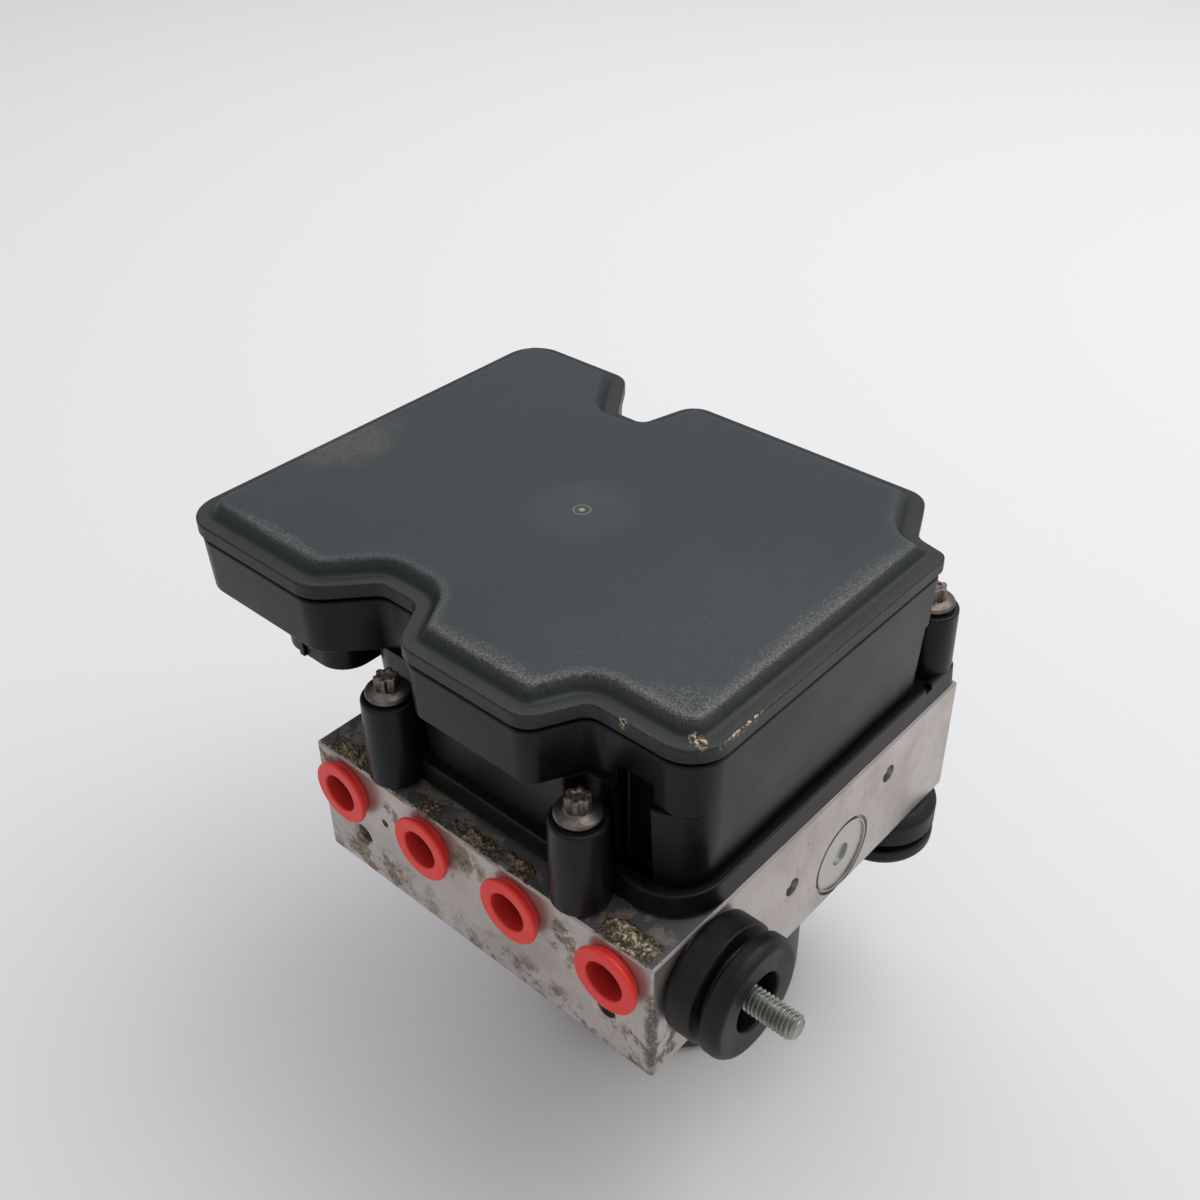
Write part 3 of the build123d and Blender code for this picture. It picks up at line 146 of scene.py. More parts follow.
def around(count: int) -> Array:
    """Angles spaced evenly round a turn, without the last, as a row."""
    return np.linspace(0.0, 2 * np.pi, count, endpoint=False)[None, :]


def turned(seat: Seat, profile: Array, count: int = 96) -> Array:
    """Carry a (radius, reach) profile round a seat's axis: one ring a profile point."""
    return seat.place(profile[:, :1], profile[:, 1:], around(count))


def skin(name: str, rings: Array, looped: bool = False) -> bpy.types.Mesh:
    """Make a closed mesh of successive rings of points.

    Ring i joins ring i + 1 with a band of quads. The last ring joins the first where the profile is a loop,
    and otherwise each end is closed with one flat face.

    Args:
        name: Name of the mesh.
        rings: Points as (ring, place round the ring, coordinate), in millimetres.
        looped: Whether the profile that the rings follow is a closed loop.

    Returns:
        The mesh, smooth but for its sharp edges, with its faces pointing outwards.
    """
    count, places = rings.shape[:2]
    index = np.arange(count * places).reshape(count, places)
    lower = index if looped else index[:-1]
    upper = np.roll(index, -1, axis=0) if looped else index[1:]
    quads = np.stack([lower, np.roll(lower, -1, 1), np.roll(upper, -1, 1), upper], axis=-1)
    faces = quads.reshape(-1, 4).tolist()
    if not looped:
        faces += [index[0, ::-1].tolist(), index[-1].tolist()]
    mesh = bpy.data.meshes.new(name)
    mesh.from_pydata((rings.reshape(-1, 3) * MM).tolist(), [], faces)
    return closed(mesh)


@dataclass(frozen=True)
class Outline:
    """A closed outline with rounded corners, which can be pulled in all round.

    Attributes:
        corners: Each corner's x, y and radius, going round to the left, in millimetres.
    """

    corners: tuple[tuple[float, float, float], ...]

    def inset(self, amount: float, steps: int = 12) -> Array:
        """The outline pulled in all round, with every corner an arc.

        A corner moves to where its two sides meet once both have moved in by the amount. Its radius shrinks by
        the amount where the outline turns out and grows by it where it turns in, to no less than 0.3 mm.

        Args:
            amount: How far every side moves in, in millimetres.
            steps: Points along each corner's arc.

        Returns:
            Points of the closed outline, as (x, y) rows.
        """
        table = np.array(self.corners)
        corner, radius = table[:, :2], table[:, 2]
        ahead = np.roll(corner, -1, axis=0) - corner
        ahead /= np.linalg.norm(ahead, axis=1, keepdims=True)
        behind = np.roll(ahead, 1, axis=0)
        inward_a = np.stack([-behind[:, 1], behind[:, 0]], axis=1)
        inward_b = np.stack([-ahead[:, 1], ahead[:, 0]], axis=1)
        cosine = np.sum(inward_a * inward_b, axis=1, keepdims=True)
        moved = corner + amount * (inward_a + inward_b) / (1 + cosine)
        hand = np.sign(behind[:, 0] * ahead[:, 1] - behind[:, 1] * ahead[:, 0])
        bent = np.maximum(radius - hand * amount, 0.3)
        angle = np.arccos(np.clip(cosine[:, 0], -1, 1))
        start = moved - behind * (bent * np.tan(angle / 2))[:, None]
        centre = start + inward_a * (hand * bent)[:, None]
        first = np.arctan2(-inward_a[:, 1] * hand, -inward_a[:, 0] * hand)
        sweep = first[:, None] + hand[:, None] * angle[:, None] * np.linspace(0, 1, steps)[None, :]
        arcs = centre[:, None] + bent[:, None, None] * np.stack([np.cos(sweep), np.sin(sweep)], axis=-1)
        return arcs.reshape(-1, 2)

    def rings(self, profile: Array) -> Array:
        """One ring of points for each (inset, level) row of a profile, carried round the outline."""
        loops = [self.inset(amount) for amount, _ in profile]
        levels = np.broadcast_to(profile[:, 1, None, None], (len(loops), len(loops[0]), 1))
        return np.concatenate([np.stack(loops), levels], axis=2)


def oblong(low: tuple[float, float], high: tuple[float, float], radius: float = 0.3) -> Outline:
    """Rectangular outline between two opposite corners."""
    (x0, y0), (x1, y1) = low, high
    return Outline(((x0, y0, radius), (x1, y0, radius), (x1, y1, radius), (x0, y1, radius)))


def circle(x: float, y: float, radius: float) -> Array:
    """Points of a circle, at centre + radius * (cos(angle), sin(angle))."""
    angle = around(40)[0]
    return np.column_stack([x + radius * np.cos(angle), y + radius * np.sin(angle)])


def smooth(mesh: bpy.types.Mesh) -> None:
    """Shade all of a mesh's faces smooth."""
    mesh.polygons.foreach_set("use_smooth", np.ones(len(mesh.polygons), dtype=bool))


def closed(mesh: bpy.types.Mesh) -> bpy.types.Mesh:
    """Point a mesh's faces outwards, smooth them and mark its sharp edges."""
    shell = bmesh.new()
    shell.from_mesh(mesh)
    bmesh.ops.recalc_face_normals(shell, faces=shell.faces)
    shell.to_mesh(mesh)
    shell.free()
    smooth(mesh)
    mesh.set_sharp_from_angle(angle=SHARP_ANGLE)
    return mesh


def plate(name: str, loops: Sequence[Array], low: float, high: float) -> bpy.types.Mesh:
    """Make a flat plate, whose first loop is its edge and whose other loops are holes.

    Every loop stands at both levels and is joined by a band of quads. Triangles between the loops close each
    level.

    Args:
        name: Name of the mesh.
        loops: Points of each loop, as (x, y) rows in millimetres.
        low: Level of its underside.
        high: Level of its top.

    Returns:
        The plate.
    """
    flat = np.concatenate(loops)
    count = len(flat)
    ends = np.cumsum([len(loop) for loop in loops])
    ahead = np.concatenate([np.roll(np.arange(end - len(loop), end), -1) for loop, end in zip(loops, ends)])
    index = np.arange(count)
    sides = np.stack([index, ahead, ahead + count, index + count], axis=-1)
    points = np.concatenate([np.column_stack([flat, np.full(count, level)]) for level in (low, high)])
    mesh = bpy.data.meshes.new(name)
    mesh.from_pydata((points * MM).tolist(), [], sides.tolist())
    shell = bmesh.new()
    shell.from_mesh(mesh)
    for first in (0, count):
        level = range(first, first + count)
        rim = [edge for edge in shell.edges if edge.verts[0].index in level and edge.verts[1].index in level]
        bmesh.ops.triangle_fill(shell, use_beauty=True, use_dissolve=False, edges=rim)
    shell.to_mesh(mesh)
    shell.free()
    return closed(mesh)


def cut(mesh: bpy.types.Mesh, *tools: bpy.types.Mesh) -> bpy.types.Mesh:
    """Cut closed meshes out of another.

    Args:
        mesh: The mesh to cut.
        tools: The meshes to take away, which are used up.

    Returns:
        The cut mesh, under the same name.
    """
    name = mesh.name
    for tool in tools:
        work, cutter = (bpy.data.objects.new("work", part) for part in (mesh, tool))
        for item in (work, cutter):
            bpy.context.scene.collection.objects.link(item)
        taking = work.modifiers.new("taking", "BOOLEAN")
        taking.operation, taking.solver, taking.object = "DIFFERENCE", "EXACT", cutter
        bpy.context.view_layer.update()
        result = bpy.data.meshes.new_from_object(work.evaluated_get(bpy.context.evaluated_depsgraph_get()))
        for item in (work, cutter):
            bpy.data.objects.remove(item)
        for used in (mesh, tool):
            bpy.data.meshes.remove(used)
        mesh = result
    mesh.name = name
    return closed(mesh)


def tag(mesh: bpy.types.Mesh, name: str, values: Array) -> None:
    """Store one number a vertex as an attribute that a finish can read.

    Args:
        mesh: The mesh to tag.
        name: Name of the attribute.
        values: One value a vertex, in the mesh's vertex order.
    """
    attribute = mesh.attributes.new(name, "FLOAT", "POINT")
    attribute.data.foreach_set("value", values.ravel().astype(np.float32))


def value_noise(x: Array, y: Array, seed: int) -> Array:
    """Smooth noise in the plane: random heights on a unit grid, joined by the curve 3t^2 - 2t^3.

    Args:
        x: First coordinates, in grid cells.
        y: Second coordinates, in grid cells.
        seed: Picks the random heights.

    Returns:
        Noise between 0 and 1, in the shape of the coordinates.
    """
    grid = np.random.default_rng(seed).random((NOISE_GRID, NOISE_GRID))
    column, row = np.floor(x).astype(int), np.floor(y).astype(int)
    u, v = x - column, y - row
    u, v = u * u * (3 - 2 * u), v * v * (3 - 2 * v)
    left, right = column % NOISE_GRID, (column + 1) % NOISE_GRID
    lines = (row % NOISE_GRID, (row + 1) % NOISE_GRID)
    near, far = (grid[line, left] * (1 - u) + grid[line, right] * u for line in lines)
    return near * (1 - v) + far * v


# ---------------------------------------------------------------------------------------------------------
# Finishes
# ---------------------------------------------------------------------------------------------------------


class Graph:
    """A material's node graph, with short calls for the nodes that the finishes share.

    Patterns read Object coordinates in millimetres, so a pattern's scale is in features a millimetre.
    """

    def __init__(self, name: str) -> None:
        """Start a material with a Principled shader.

        Args:
            name: Name of the material.
        """
        self.material = bpy.data.materials.new(name)
        self.material.use_nodes = True
        self.tree = self.material.node_tree
        self.shader = self.tree.nodes["Principled BSDF"]
        self.coordinates = self.node("TexCoord", {})
        inputs = {0: self.coordinates.outputs["Object"], "Scale": 1 / MM}
        self.place = self.node("VectorMath", inputs, operation="SCALE").outputs[0]

    def join(self, source: Source, target: Socket) -> None:
        """Link a socket to an input, or set the input where the source is a plain value."""
        if isinstance(source, bpy.types.NodeSocket):
            self.tree.links.new(source, target)
        else:
            target.default_value = source

    def node(self, kind: str, inputs: dict[int | str, Source], **settings: str | int) -> bpy.types.Node:
        """Add a node.

        Args:
            kind: The node's type, without ShaderNode in front.
            inputs: What each input is linked or set to.
            settings: The node's own settings, which are made before its inputs.

        Returns:
            The node.
        """
        node = self.tree.nodes.new(f"ShaderNode{kind}")
        for setting, value in settings.items():
            setattr(node, setting, value)
        for key, source in inputs.items():
            self.join(source, node.inputs[key])
        return node

    def noise(
        self, scale: float, detail: float = 3.0, rough: float = 0.5, at: Socket | None = None
    ) -> Socket:
        """Fractal noise between 0 and 1.

        Args:
            scale: Features a millimetre.
            detail: Octaves.
            rough: How strong the finer octaves are.
            at: Where it is read, or the plain place.

        Returns:
            The noise's value.
        """
        inputs = {"Vector": at or self.place, "Scale": scale, "Detail": detail, "Roughness": rough}
        return self.node("TexNoise", inputs).outputs["Fac"]

    def cells(self, scale: float) -> Socket:
        """Distance to the nearest of scattered points, in cells, for grains and specks."""
        return self.node("TexVoronoi", {"Vector": self.place, "Scale": scale}).outputs["Distance"]

    def stretched(self, factors: Point, turn: float = 0.0) -> Socket:
        """The place turned about the upright and then multiplied along each direction.

        Args:
            factors: Multipliers along x, y and z.
            turn: Angle about the upright, in degrees.

        Returns:
            The changed place.
        """
        inputs = {"Vector": self.place, "Angle": math.radians(turn)}
        spun = self.node("VectorRotate", inputs, rotation_type="Z_AXIS").outputs[0]
        return self.node("VectorMath", {0: spun, 1: factors}, operation="MULTIPLY").outputs[0]

    def calc(self, operation: str, *values: Source) -> Socket:
        """Combine two or more values with Math nodes of one operation, such as SUBTRACT."""
        return reduce(lambda a, b: self.node("Math", {0: a, 1: b}, operation=operation).outputs[0], values)

    def plus(self, *values: Source) -> Socket:
        """Sum of some values."""
        return self.calc("ADD", *values)

    def times(self, *values: Source) -> Socket:
        """Product of some values."""
        return self.calc("MULTIPLY", *values)

    def most(self, *values: Source) -> Socket:
        """Greatest of some values."""
        return self.calc("MAXIMUM", *values)

    def step(self, value: Socket, start: float, end: float, low: float = 0.0, high: float = 1.0) -> Socket:
        """Rise from low to high as a value goes from start to end, straight where the end is below the start.

        Args:
            value: The value to follow.
            start: Where the rise starts.
            end: Where it ends.
            low: Result at the start.
            high: Result at the end.

        Returns:
            The mapped value.
        """
        kind = "SMOOTHSTEP" if start < end else "LINEAR"
        inputs = {"Value": value, "From Min": start, "From Max": end, "To Min": low, "To Max": high}
        return self.node("MapRange", inputs, interpolation_type=kind).outputs["Result"]

    def mix(self, share: Source, a: Socket | Colour, b: Socket | Colour) -> Socket:
        """Mix two colours by a share of the second.

        Args:
            share: Share of the second colour, 0 to 1.
            a: First colour.
            b: Second colour.

        Returns:
            The mixed colour.
        """
        first, second = (
            colour if isinstance(colour, bpy.types.NodeSocket) else (*colour, 1.0) for colour in (a, b)
        )
        return self.node("Mix", {0: share, 6: first, 7: second}, data_type="RGBA").outputs[2]

    def patch(self, centre: Point, size: Point, ragged: float = 0.5, grain: float = 0.25) -> Socket:
        """A ragged patch round a place: 1 inside an ellipsoid, fading to 0 at its edge.

        The edge lies where the distance from the centre, measured in the ellipsoid's half-sizes, plus a share
        of noise, reaches 1.

        Args:
            centre: Centre of the patch, in millimetres.
            size: Half-sizes of the patch, in millimetres.
            ragged: How far noise moves the edge.
            grain: Scale of that noise, in features a millimetre.

        Returns:
            The patch's strength.
        """
        offset = self.node("VectorMath", {0: self.place, 1: centre}, operation="SUBTRACT").outputs[0]
        scaled = self.node("VectorMath", {0: offset, 1: size}, operation="DIVIDE").outputs[0]
        length = self.node("VectorMath", {0: scaled}, operation="LENGTH").outputs["Value"]
        wander = self.times(self.calc("SUBTRACT", self.noise(grain, 5, 0.65), 0.5), 2 * ragged)
        return self.step(self.plus(length, wander), 1.0, 0.55)

    def patches(self, places: Sequence[Patch]) -> Socket:
        """The strongest of several patches, each given by what patch takes."""
        return self.most(*(self.patch(*place) for place in places))

    def attribute(self, name: str) -> Socket:
        """A number stored on the piece's vertices."""
        return self.node("Attribute", {}, attribute_name=name).outputs["Fac"]

    def axis(self, letter: str) -> Socket:
        """One coordinate of the place, in millimetres."""
        return self.node("SeparateXYZ", {0: self.place}).outputs[letter]

    def facing(self, letter: str) -> Socket:
        """One coordinate of the surface's normal in the object's own axes."""
        return self.node("SeparateXYZ", {0: self.coordinates.outputs["Normal"]}).outputs[letter]

    def relief(self, *layers: tuple[Socket, float], edge: float = 0.0) -> None:
        """Give the shader bumps, and round its sharp edges.

        Args:
            layers: Heights between 0 and 1, each with its depth in millimetres.
            edge: Radius that sharp edges appear to have, in millimetres.
        """
        normal = self.node("Bevel", {"Radius": edge * MM}, samples=6).outputs[0] if edge else None
        for height, depth in layers:
            inputs = {"Distance": depth * MM, "Height": height}
            if normal:
                inputs["Normal"] = normal
            normal = self.node("Bump", inputs).outputs[0]
        if normal:
            self.join(normal, self.shader.inputs["Normal"])

    def finish(self, colour: Socket, roughness: Socket, metallic: Source = 0.0, level: float = 0.5) -> None:
        """Set the shader's main inputs.

        Args:
            colour: Base colour.
            roughness: Roughness.
            metallic: How far the surface is bare metal, 0 to 1.
            level: Specular level.
        """
        main = {"Base Color": colour, "Roughness": roughness, "Metallic": metallic}
        for name, source in (main | {"Specular IOR Level": level}).items():
            self.join(source, self.shader.inputs[name])


@dataclass(frozen=True)
class Finish:
    """A finish with mottled colour, uneven gloss and fine grain.

    Attributes:
        name: Name of the material.
        colour: Main colour.
        worn: Colour of the mottling.
        roughness: Lowest and highest roughness.
        metallic: Whether it is bare metal, 0 to 1.
        level: Specular level.
        mottle: Scale of the mottling, in features a millimetre.
        grain: Scale of the grain, in features a millimetre.
        depth: Depth of the grain, in millimetres.
        edge: Radius that sharp edges appear to have, in millimetres.
    """

    name: str
    colour: Colour
    worn: Colour
    roughness: tuple[float, float] = (0.35, 0.55)
    metallic: float = 0.0
    level: float = 0.5
    mottle: float = 0.12
    grain: float = 2.5
    depth: float = 0.02
    edge: float = 0.2

    def build(self) -> bpy.types.Material:
        """Make the material."""
        graph = Graph(self.name)
        mottle = graph.noise(self.mottle, 5, 0.6)
        grain = graph.noise(self.grain, 3)
        colour = graph.mix(graph.step(mottle, 0.35, 0.75), self.colour, self.worn)
        graph.finish(colour, graph.step(mottle, 0.3, 0.7, *self.roughness), self.metallic, self.level)
        graph.relief((grain, self.depth), edge=self.edge)
        return graph.material


@dataclass(frozen=True)
class CoverPlastic:
    """Slate moulding of the cover: fine grain, dusty bloom and painted sheen, pale worn edges, dust, grit and
    painted shade.

    Attributes:
        base: Clean colour.
        painted_shade: Colour of the painted shade on the slope and the smoother rim, which face away from the
            light.
        bloom_and_sheen: Colour of the dusty bloom and of the painted sheen towards the near corner and the
            right.
        rub: Colour of worn edges.
        dust: Colour of the dried dust.
        grit: Colour of the sandy grit.
        rubs: Patches of worn grain: near corner, right edge, middle and left of the front edge.
        grits: Patches of grit on the rim: near corner, front tower's hollow, right edge.
    """

    base: Colour = (0.0125, 0.0225, 0.0262)
    painted_shade: Colour = (0.0028, 0.0044, 0.0052)
    bloom_and_sheen: Colour = (0.060, 0.066, 0.070)
    rub: Colour = (0.20, 0.185, 0.165)
    dust: Colour = (0.12, 0.092, 0.068)
    grit: Colour = (0.56, 0.45, 0.29)
    rubs: tuple[Patch, ...] = (
        ((43.0, -50.5, 142.4), (16.0, 11.0, 2.2), 0.6, 0.09),
        ((44.6, -8.0, 142.4), (4.5, 46.0, 2.2), 0.5, 0.12),
        ((4.0, -60.8, 142.4), (20.0, 3.4, 2.2), 0.5, 0.12),
        ((-63.0, -60.8, 142.4), (20.0, 2.6, 2.2), 0.6, 0.12),
    )
    grits: tuple[Patch, ...] = (
        ((46.9, -50.7, 139.6), (2.6, 1.9, 1.4), 0.85, 0.5),
        ((32.5, -55.6, 139.0), (1.6, 1.2, 1.6), 0.6, 0.8),
        ((50.4, -42.0, 139.3), (0.35, 9.0, 1.6), 0.8, 0.5),
    )

    def build(self) -> bpy.types.Material:
        """Make the material."""
        graph = Graph("cover_plastic")
        grain = graph.noise(1.7, 3, 0.6)
        cloud = graph.noise(0.028, 4, 0.55)
        # Dusty bloom and painted sheen: the lid is lightened towards the near corner and the right, as if lit
        # there.
        near = graph.patch((44.0, -46.0, 142.0), (52.0, 62.0, 60.0), 0.5, 0.05)
        right = graph.patch((52.0, -5.0, 142.0), (20.0, 62.0, 60.0), 0.6, 0.05)
        bloom_and_sheen = graph.times(graph.most(near, graph.times(right, 0.6)), 0.34)
        bloom_and_sheen = graph.times(bloom_and_sheen, graph.step(grain, 0.25, 0.7))
        bloom_and_sheen = graph.plus(bloom_and_sheen, graph.times(graph.step(cloud, 0.35, 0.75), 0.14))
        colour = graph.mix(bloom_and_sheen, self.base, self.bloom_and_sheen)
        fine = graph.times(graph.step(graph.noise(3.4, 3, 0.7), 0.40, 0.62), graph.step(grain, 0.3, 0.62))
        smeared = graph.step(cloud, 0.5, 0.8, 0.0, 0.3)
        rubbed = graph.times(graph.attribute("edge"), graph.plus(fine, smeared))
        diagonal = graph.calc("SUBTRACT", graph.axis("X"), graph.axis("Y"))
        nearness = graph.step(diagonal, -60.0, 90.0, 0.06, 0.8)
        speckle = graph.times(graph.patches(self.rubs), graph.step(graph.noise(2.3, 3, 0.7), 0.49, 0.62))
        colour = graph.mix(graph.times(speckle, 0.5), colour, self.rub)
        colour = graph.mix(graph.times(rubbed, nearness), colour, self.rub)
        # Painted shade: the slope and the rim are darkened as if they faced away from the light.
        colour = graph.mix(graph.times(graph.attribute("rim"), 0.78), colour, self.painted_shade)
        scratch = graph.noise(0.9, 3, 0.6, graph.stretched((0.07, 1.4, 1.0), -41.0))
        scratched = graph.times(graph.step(scratch, 0.56, 0.7), graph.times(right, 0.2))
        colour = graph.mix(scratched, colour, self.bloom_and_sheen)
        left = graph.patch((-83.0, -24.0, 142.0), (11.0, 15.0, 9.0), 0.7, 0.12)
        dusty = graph.times(left, graph.step(graph.noise(0.8, 4, 0.7), 0.3, 0.7, 0.1, 0.55))
        colour = graph.mix(dusty, colour, self.dust)
        gritty = graph.times(graph.patches(self.grits), graph.step(graph.noise(1.1, 5, 0.8), 0.46, 0.54))
        colour = graph.mix(gritty, colour, self.grit)
        speck = graph.patch((*GATE, LID_TOP), (0.9, 0.9, 2.0), 0.25, 1.0)
        colour = graph.mix(graph.times(speck, 0.8), colour, self.grit)
        halo = graph.patch((*GATE, LID_TOP), (15.0, 15.0, 9.0), 0.12, 0.1)
        colour = graph.mix(graph.times(halo, 0.3), colour, self.bloom_and_sheen)
        graph.finish(colour, graph.step(cloud, 0.3, 0.7, 0.40, 0.5), level=0.34)
        graph.relief((graph.noise(0.05, 2), 0.05), (grain, 0.035), (gritty, 0.25))
        return graph.material


@dataclass(frozen=True)
class HousingPlastic:
    """Black satin moulding of the housing, with a cloudy film of dust, thicker on top, and a few specks.

    Attributes:
        base: Clean colour.
        dust: Colour of the dust film.
    """

    base: Colour = (0.0034, 0.0036, 0.0044)
    dust: Colour = (0.036, 0.035, 0.035)

    def build(self) -> bpy.types.Material:
        """Make the material."""
        graph = Graph("housing_plastic")
        cloud = graph.noise(0.06, 5, 0.6)
        upward = graph.step(graph.facing("Z"), 0.5, 0.95)
        film = graph.plus(graph.step(cloud, 0.45, 0.85, 0.0, 0.14), graph.times(upward, 0.22))
        film = graph.times(film, graph.step(graph.noise(0.9, 4, 0.7), 0.3, 0.65, 0.3, 1.0))
        colour = graph.mix(film, self.base, self.dust)
        specks = graph.step(graph.cells(0.32), 0.075, 0.03)
        colour = graph.mix(graph.times(specks, 0.5), colour, self.dust)
        roughness = graph.step(cloud, 0.3, 0.7, 0.30, 0.38)
        graph.finish(colour, roughness, level=0.22)
        graph.relief((cloud, 0.05), (graph.noise(3.0, 2), 0.006), edge=0.3)
        return graph.material


@dataclass(frozen=True)
class BlockAluminium:
    """Machined aluminium of the block: pale faces with oxide, brown salt stains, pits and scratches.

    Attributes:
        bright: Colour of the machined faces.
        dull: Colour of the oxide.
        grey: Colour of the uncovered top.
        stain: Colour of the brown stains.
        dark: Colour of the deepest dirt.
        stains: Patches where salt and dirt have settled: along the front's foot, down the near edge, on the
            top's rim and round the ports.
    """

    bright: Colour = (0.53, 0.48, 0.45)
    dull: Colour = (0.39, 0.345, 0.315)
    grey: Colour = (0.12, 0.125, 0.13)
    stain: Colour = (0.165, 0.122, 0.068)
    dark: Colour = (0.046, 0.034, 0.021)
    stains: tuple[Patch, ...] = (
        ((15.0, BLOCK_FRONT, 63.0), (36.0, 3.0, 8.0), 0.9, 0.12),
        ((-34.0, BLOCK_FRONT, 63.0), (22.0, 3.0, 11.0), 0.9, 0.12),
        ((47.0, BLOCK_FRONT, 65.0), (10.0, 3.0, 9.0), 0.8, 0.2),
        ((BLOCK_RIGHT, -63.0, 68.0), (3.0, 7.0, 8.0), 0.8, 0.25),
        ((BLOCK_RIGHT, -49.0, 89.0), (2.0, 6.0, 3.0), 0.9, 0.3),
        ((-49.0, BLOCK_FRONT, 90.0), (6.0, 5.0, 5.0), 0.8, 0.2),
        ((-14.0, -66.0, BLOCK_TOP), (34.0, 5.0, 1.2), 0.6, 0.14),
        ((39.0, -63.5, BLOCK_TOP), (12.5, 6.0, 1.2), 0.6, 0.2),
        ((-42.0, -62.0, BLOCK_TOP), (8.0, 7.0, 1.2), 0.8, 0.2),
        ((-2.0, BLOCK_FRONT, 88.0), (7.0, 2.0, 6.0), 0.9, 0.2),
        ((28.0, BLOCK_FRONT, 84.0), (6.0, 2.0, 9.0), 0.9, 0.2),
        ((-27.0, BLOCK_FRONT, 84.0), (4.0, 2.0, 6.0), 0.9, 0.2),
    )

    def build(self) -> bpy.types.Material:
        """Make the material."""
        graph = Graph("block_aluminium")
        cloud = graph.noise(0.045, 5, 0.6)
        colour = graph.mix(graph.step(cloud, 0.35, 0.75), self.bright, self.dull)
        marks = graph.noise(1.4, 3, 0.6, graph.stretched((1.0, 1.0, 0.12)))
        colour = graph.mix(graph.step(marks, 0.45, 0.8, 0.0, 0.35), colour, self.dull)
        upward = graph.step(graph.facing("Z"), 0.6, 0.9)
        colour = graph.mix(graph.times(upward, 0.75), colour, self.grey)
        blotches = graph.step(graph.noise(0.17, 9, 0.72), 0.47, 0.56)
        stained = graph.times(graph.patches(self.stains), blotches)
        colour = graph.mix(graph.times(stained, 0.8), colour, self.stain)
        deep = graph.times(stained, graph.step(graph.noise(0.75, 6, 0.75), 0.5, 0.6))
        crumbled = graph.patch((BLOCK_RIGHT, BLOCK_FRONT, 74.0), (2.3, 2.3, 17.0), 0.75, 0.5)
        crumbled = graph.times(crumbled, graph.step(graph.noise(1.3, 5, 0.75), 0.36, 0.5))
        deep = graph.most(deep, crumbled)
        colour = graph.mix(graph.times(deep, 0.82), colour, self.dark)
        flecks = graph.noise(0.55, 5, 0.65, graph.stretched((1.0, 1.0, 0.45)))
        flecked = graph.times(graph.step(flecks, 0.63, 0.68), graph.step(cloud, 0.3, 0.7, 0.25, 0.9))
        colour = graph.mix(flecked, colour, self.stain)
        scored = graph.noise(0.7, 2, 0.5, graph.stretched((1.6, 1.6, 0.09), 12.0))
        colour = graph.mix(graph.step(scored, 0.70, 0.74, 0.0, 0.35), colour, self.stain)
        stained = graph.most(stained, crumbled)
        rough = graph.plus(graph.step(cloud, 0.3, 0.7, 0.30, 0.44), graph.times(stained, 0.35))
        graph.finish(colour, rough, metallic=graph.step(stained, 0.0, 0.6, 0.72, 0.0))
        graph.relief((marks, 0.012), (stained, 0.12), (flecked, -0.06), edge=0.25)
        return graph.material


@dataclass(frozen=True)
class SaltCrust:
    """Crystalline crust: pale grains on gold and brown.

    Attributes:
        brown: Colour between the grains.
        gold: Colour of most grains.
        pale: Colour of the clearest grains.
    """

    brown: Colour = (0.05, 0.036, 0.022)
    gold: Colour = (0.20, 0.145, 0.075)
    pale: Colour = (0.66, 0.57, 0.41)

    def build(self) -> bpy.types.Material:
        """Make the material."""
        graph = Graph("salt_crust")
        height = graph.attribute("height")
        spread = graph.noise(0.9, 4, 0.7)
        colour = graph.mix(graph.step(graph.plus(height, spread), 0.55, 1.15), self.brown, self.gold)
        near = graph.patch((44.5, -64.5, BLOCK_TOP), (9.0, 5.0, 4.0), 0.4, 0.4)
        clear = graph.times(graph.step(spread, 0.47, 0.56), graph.step(near, 0.0, 1.0, 0.25, 1.0))
        clear = graph.times(clear, graph.step(height, 0.12, 0.5))
        colour = graph.mix(clear, colour, self.pale)
        graph.finish(colour, graph.step(spread, 0.3, 0.7, 0.3, 0.6), level=0.5)
        graph.relief((graph.cells(2.2), 0.16))
        return graph.material


@dataclass(frozen=True)
class PlugPlastic:
    """Soft red plastic of the port plugs: paler on the scuffed rim, with painted shade darkening the cup
    towards its floor.

    Attributes:
        base: Colour of the flange.
        deep: Colour of the painted shade low in the cup.
        scuff: Colour of scuffs.
    """

    base: Colour = (0.80, 0.036, 0.028)
    deep: Colour = (0.17, 0.003, 0.004)
    scuff: Colour = (0.66, 0.12, 0.09)

    def build(self) -> bpy.types.Material:
        """Make the material."""
        graph = Graph("plug_red")
        # Painted shade: the cup darkens with depth, as if shaded inside.
        colour = graph.mix(graph.attribute("depth"), self.base, self.deep)
        scuffs = graph.step(graph.noise(0.8, 4, 0.7), 0.5, 0.8, 0.0, 0.4)
        colour = graph.mix(scuffs, colour, self.scuff)
        graph.finish(colour, graph.step(graph.noise(0.3, 3), 0.3, 0.7, 0.38, 0.5), level=0.4)
        graph.relief((graph.noise(2.5, 2), 0.015))
        return graph.material


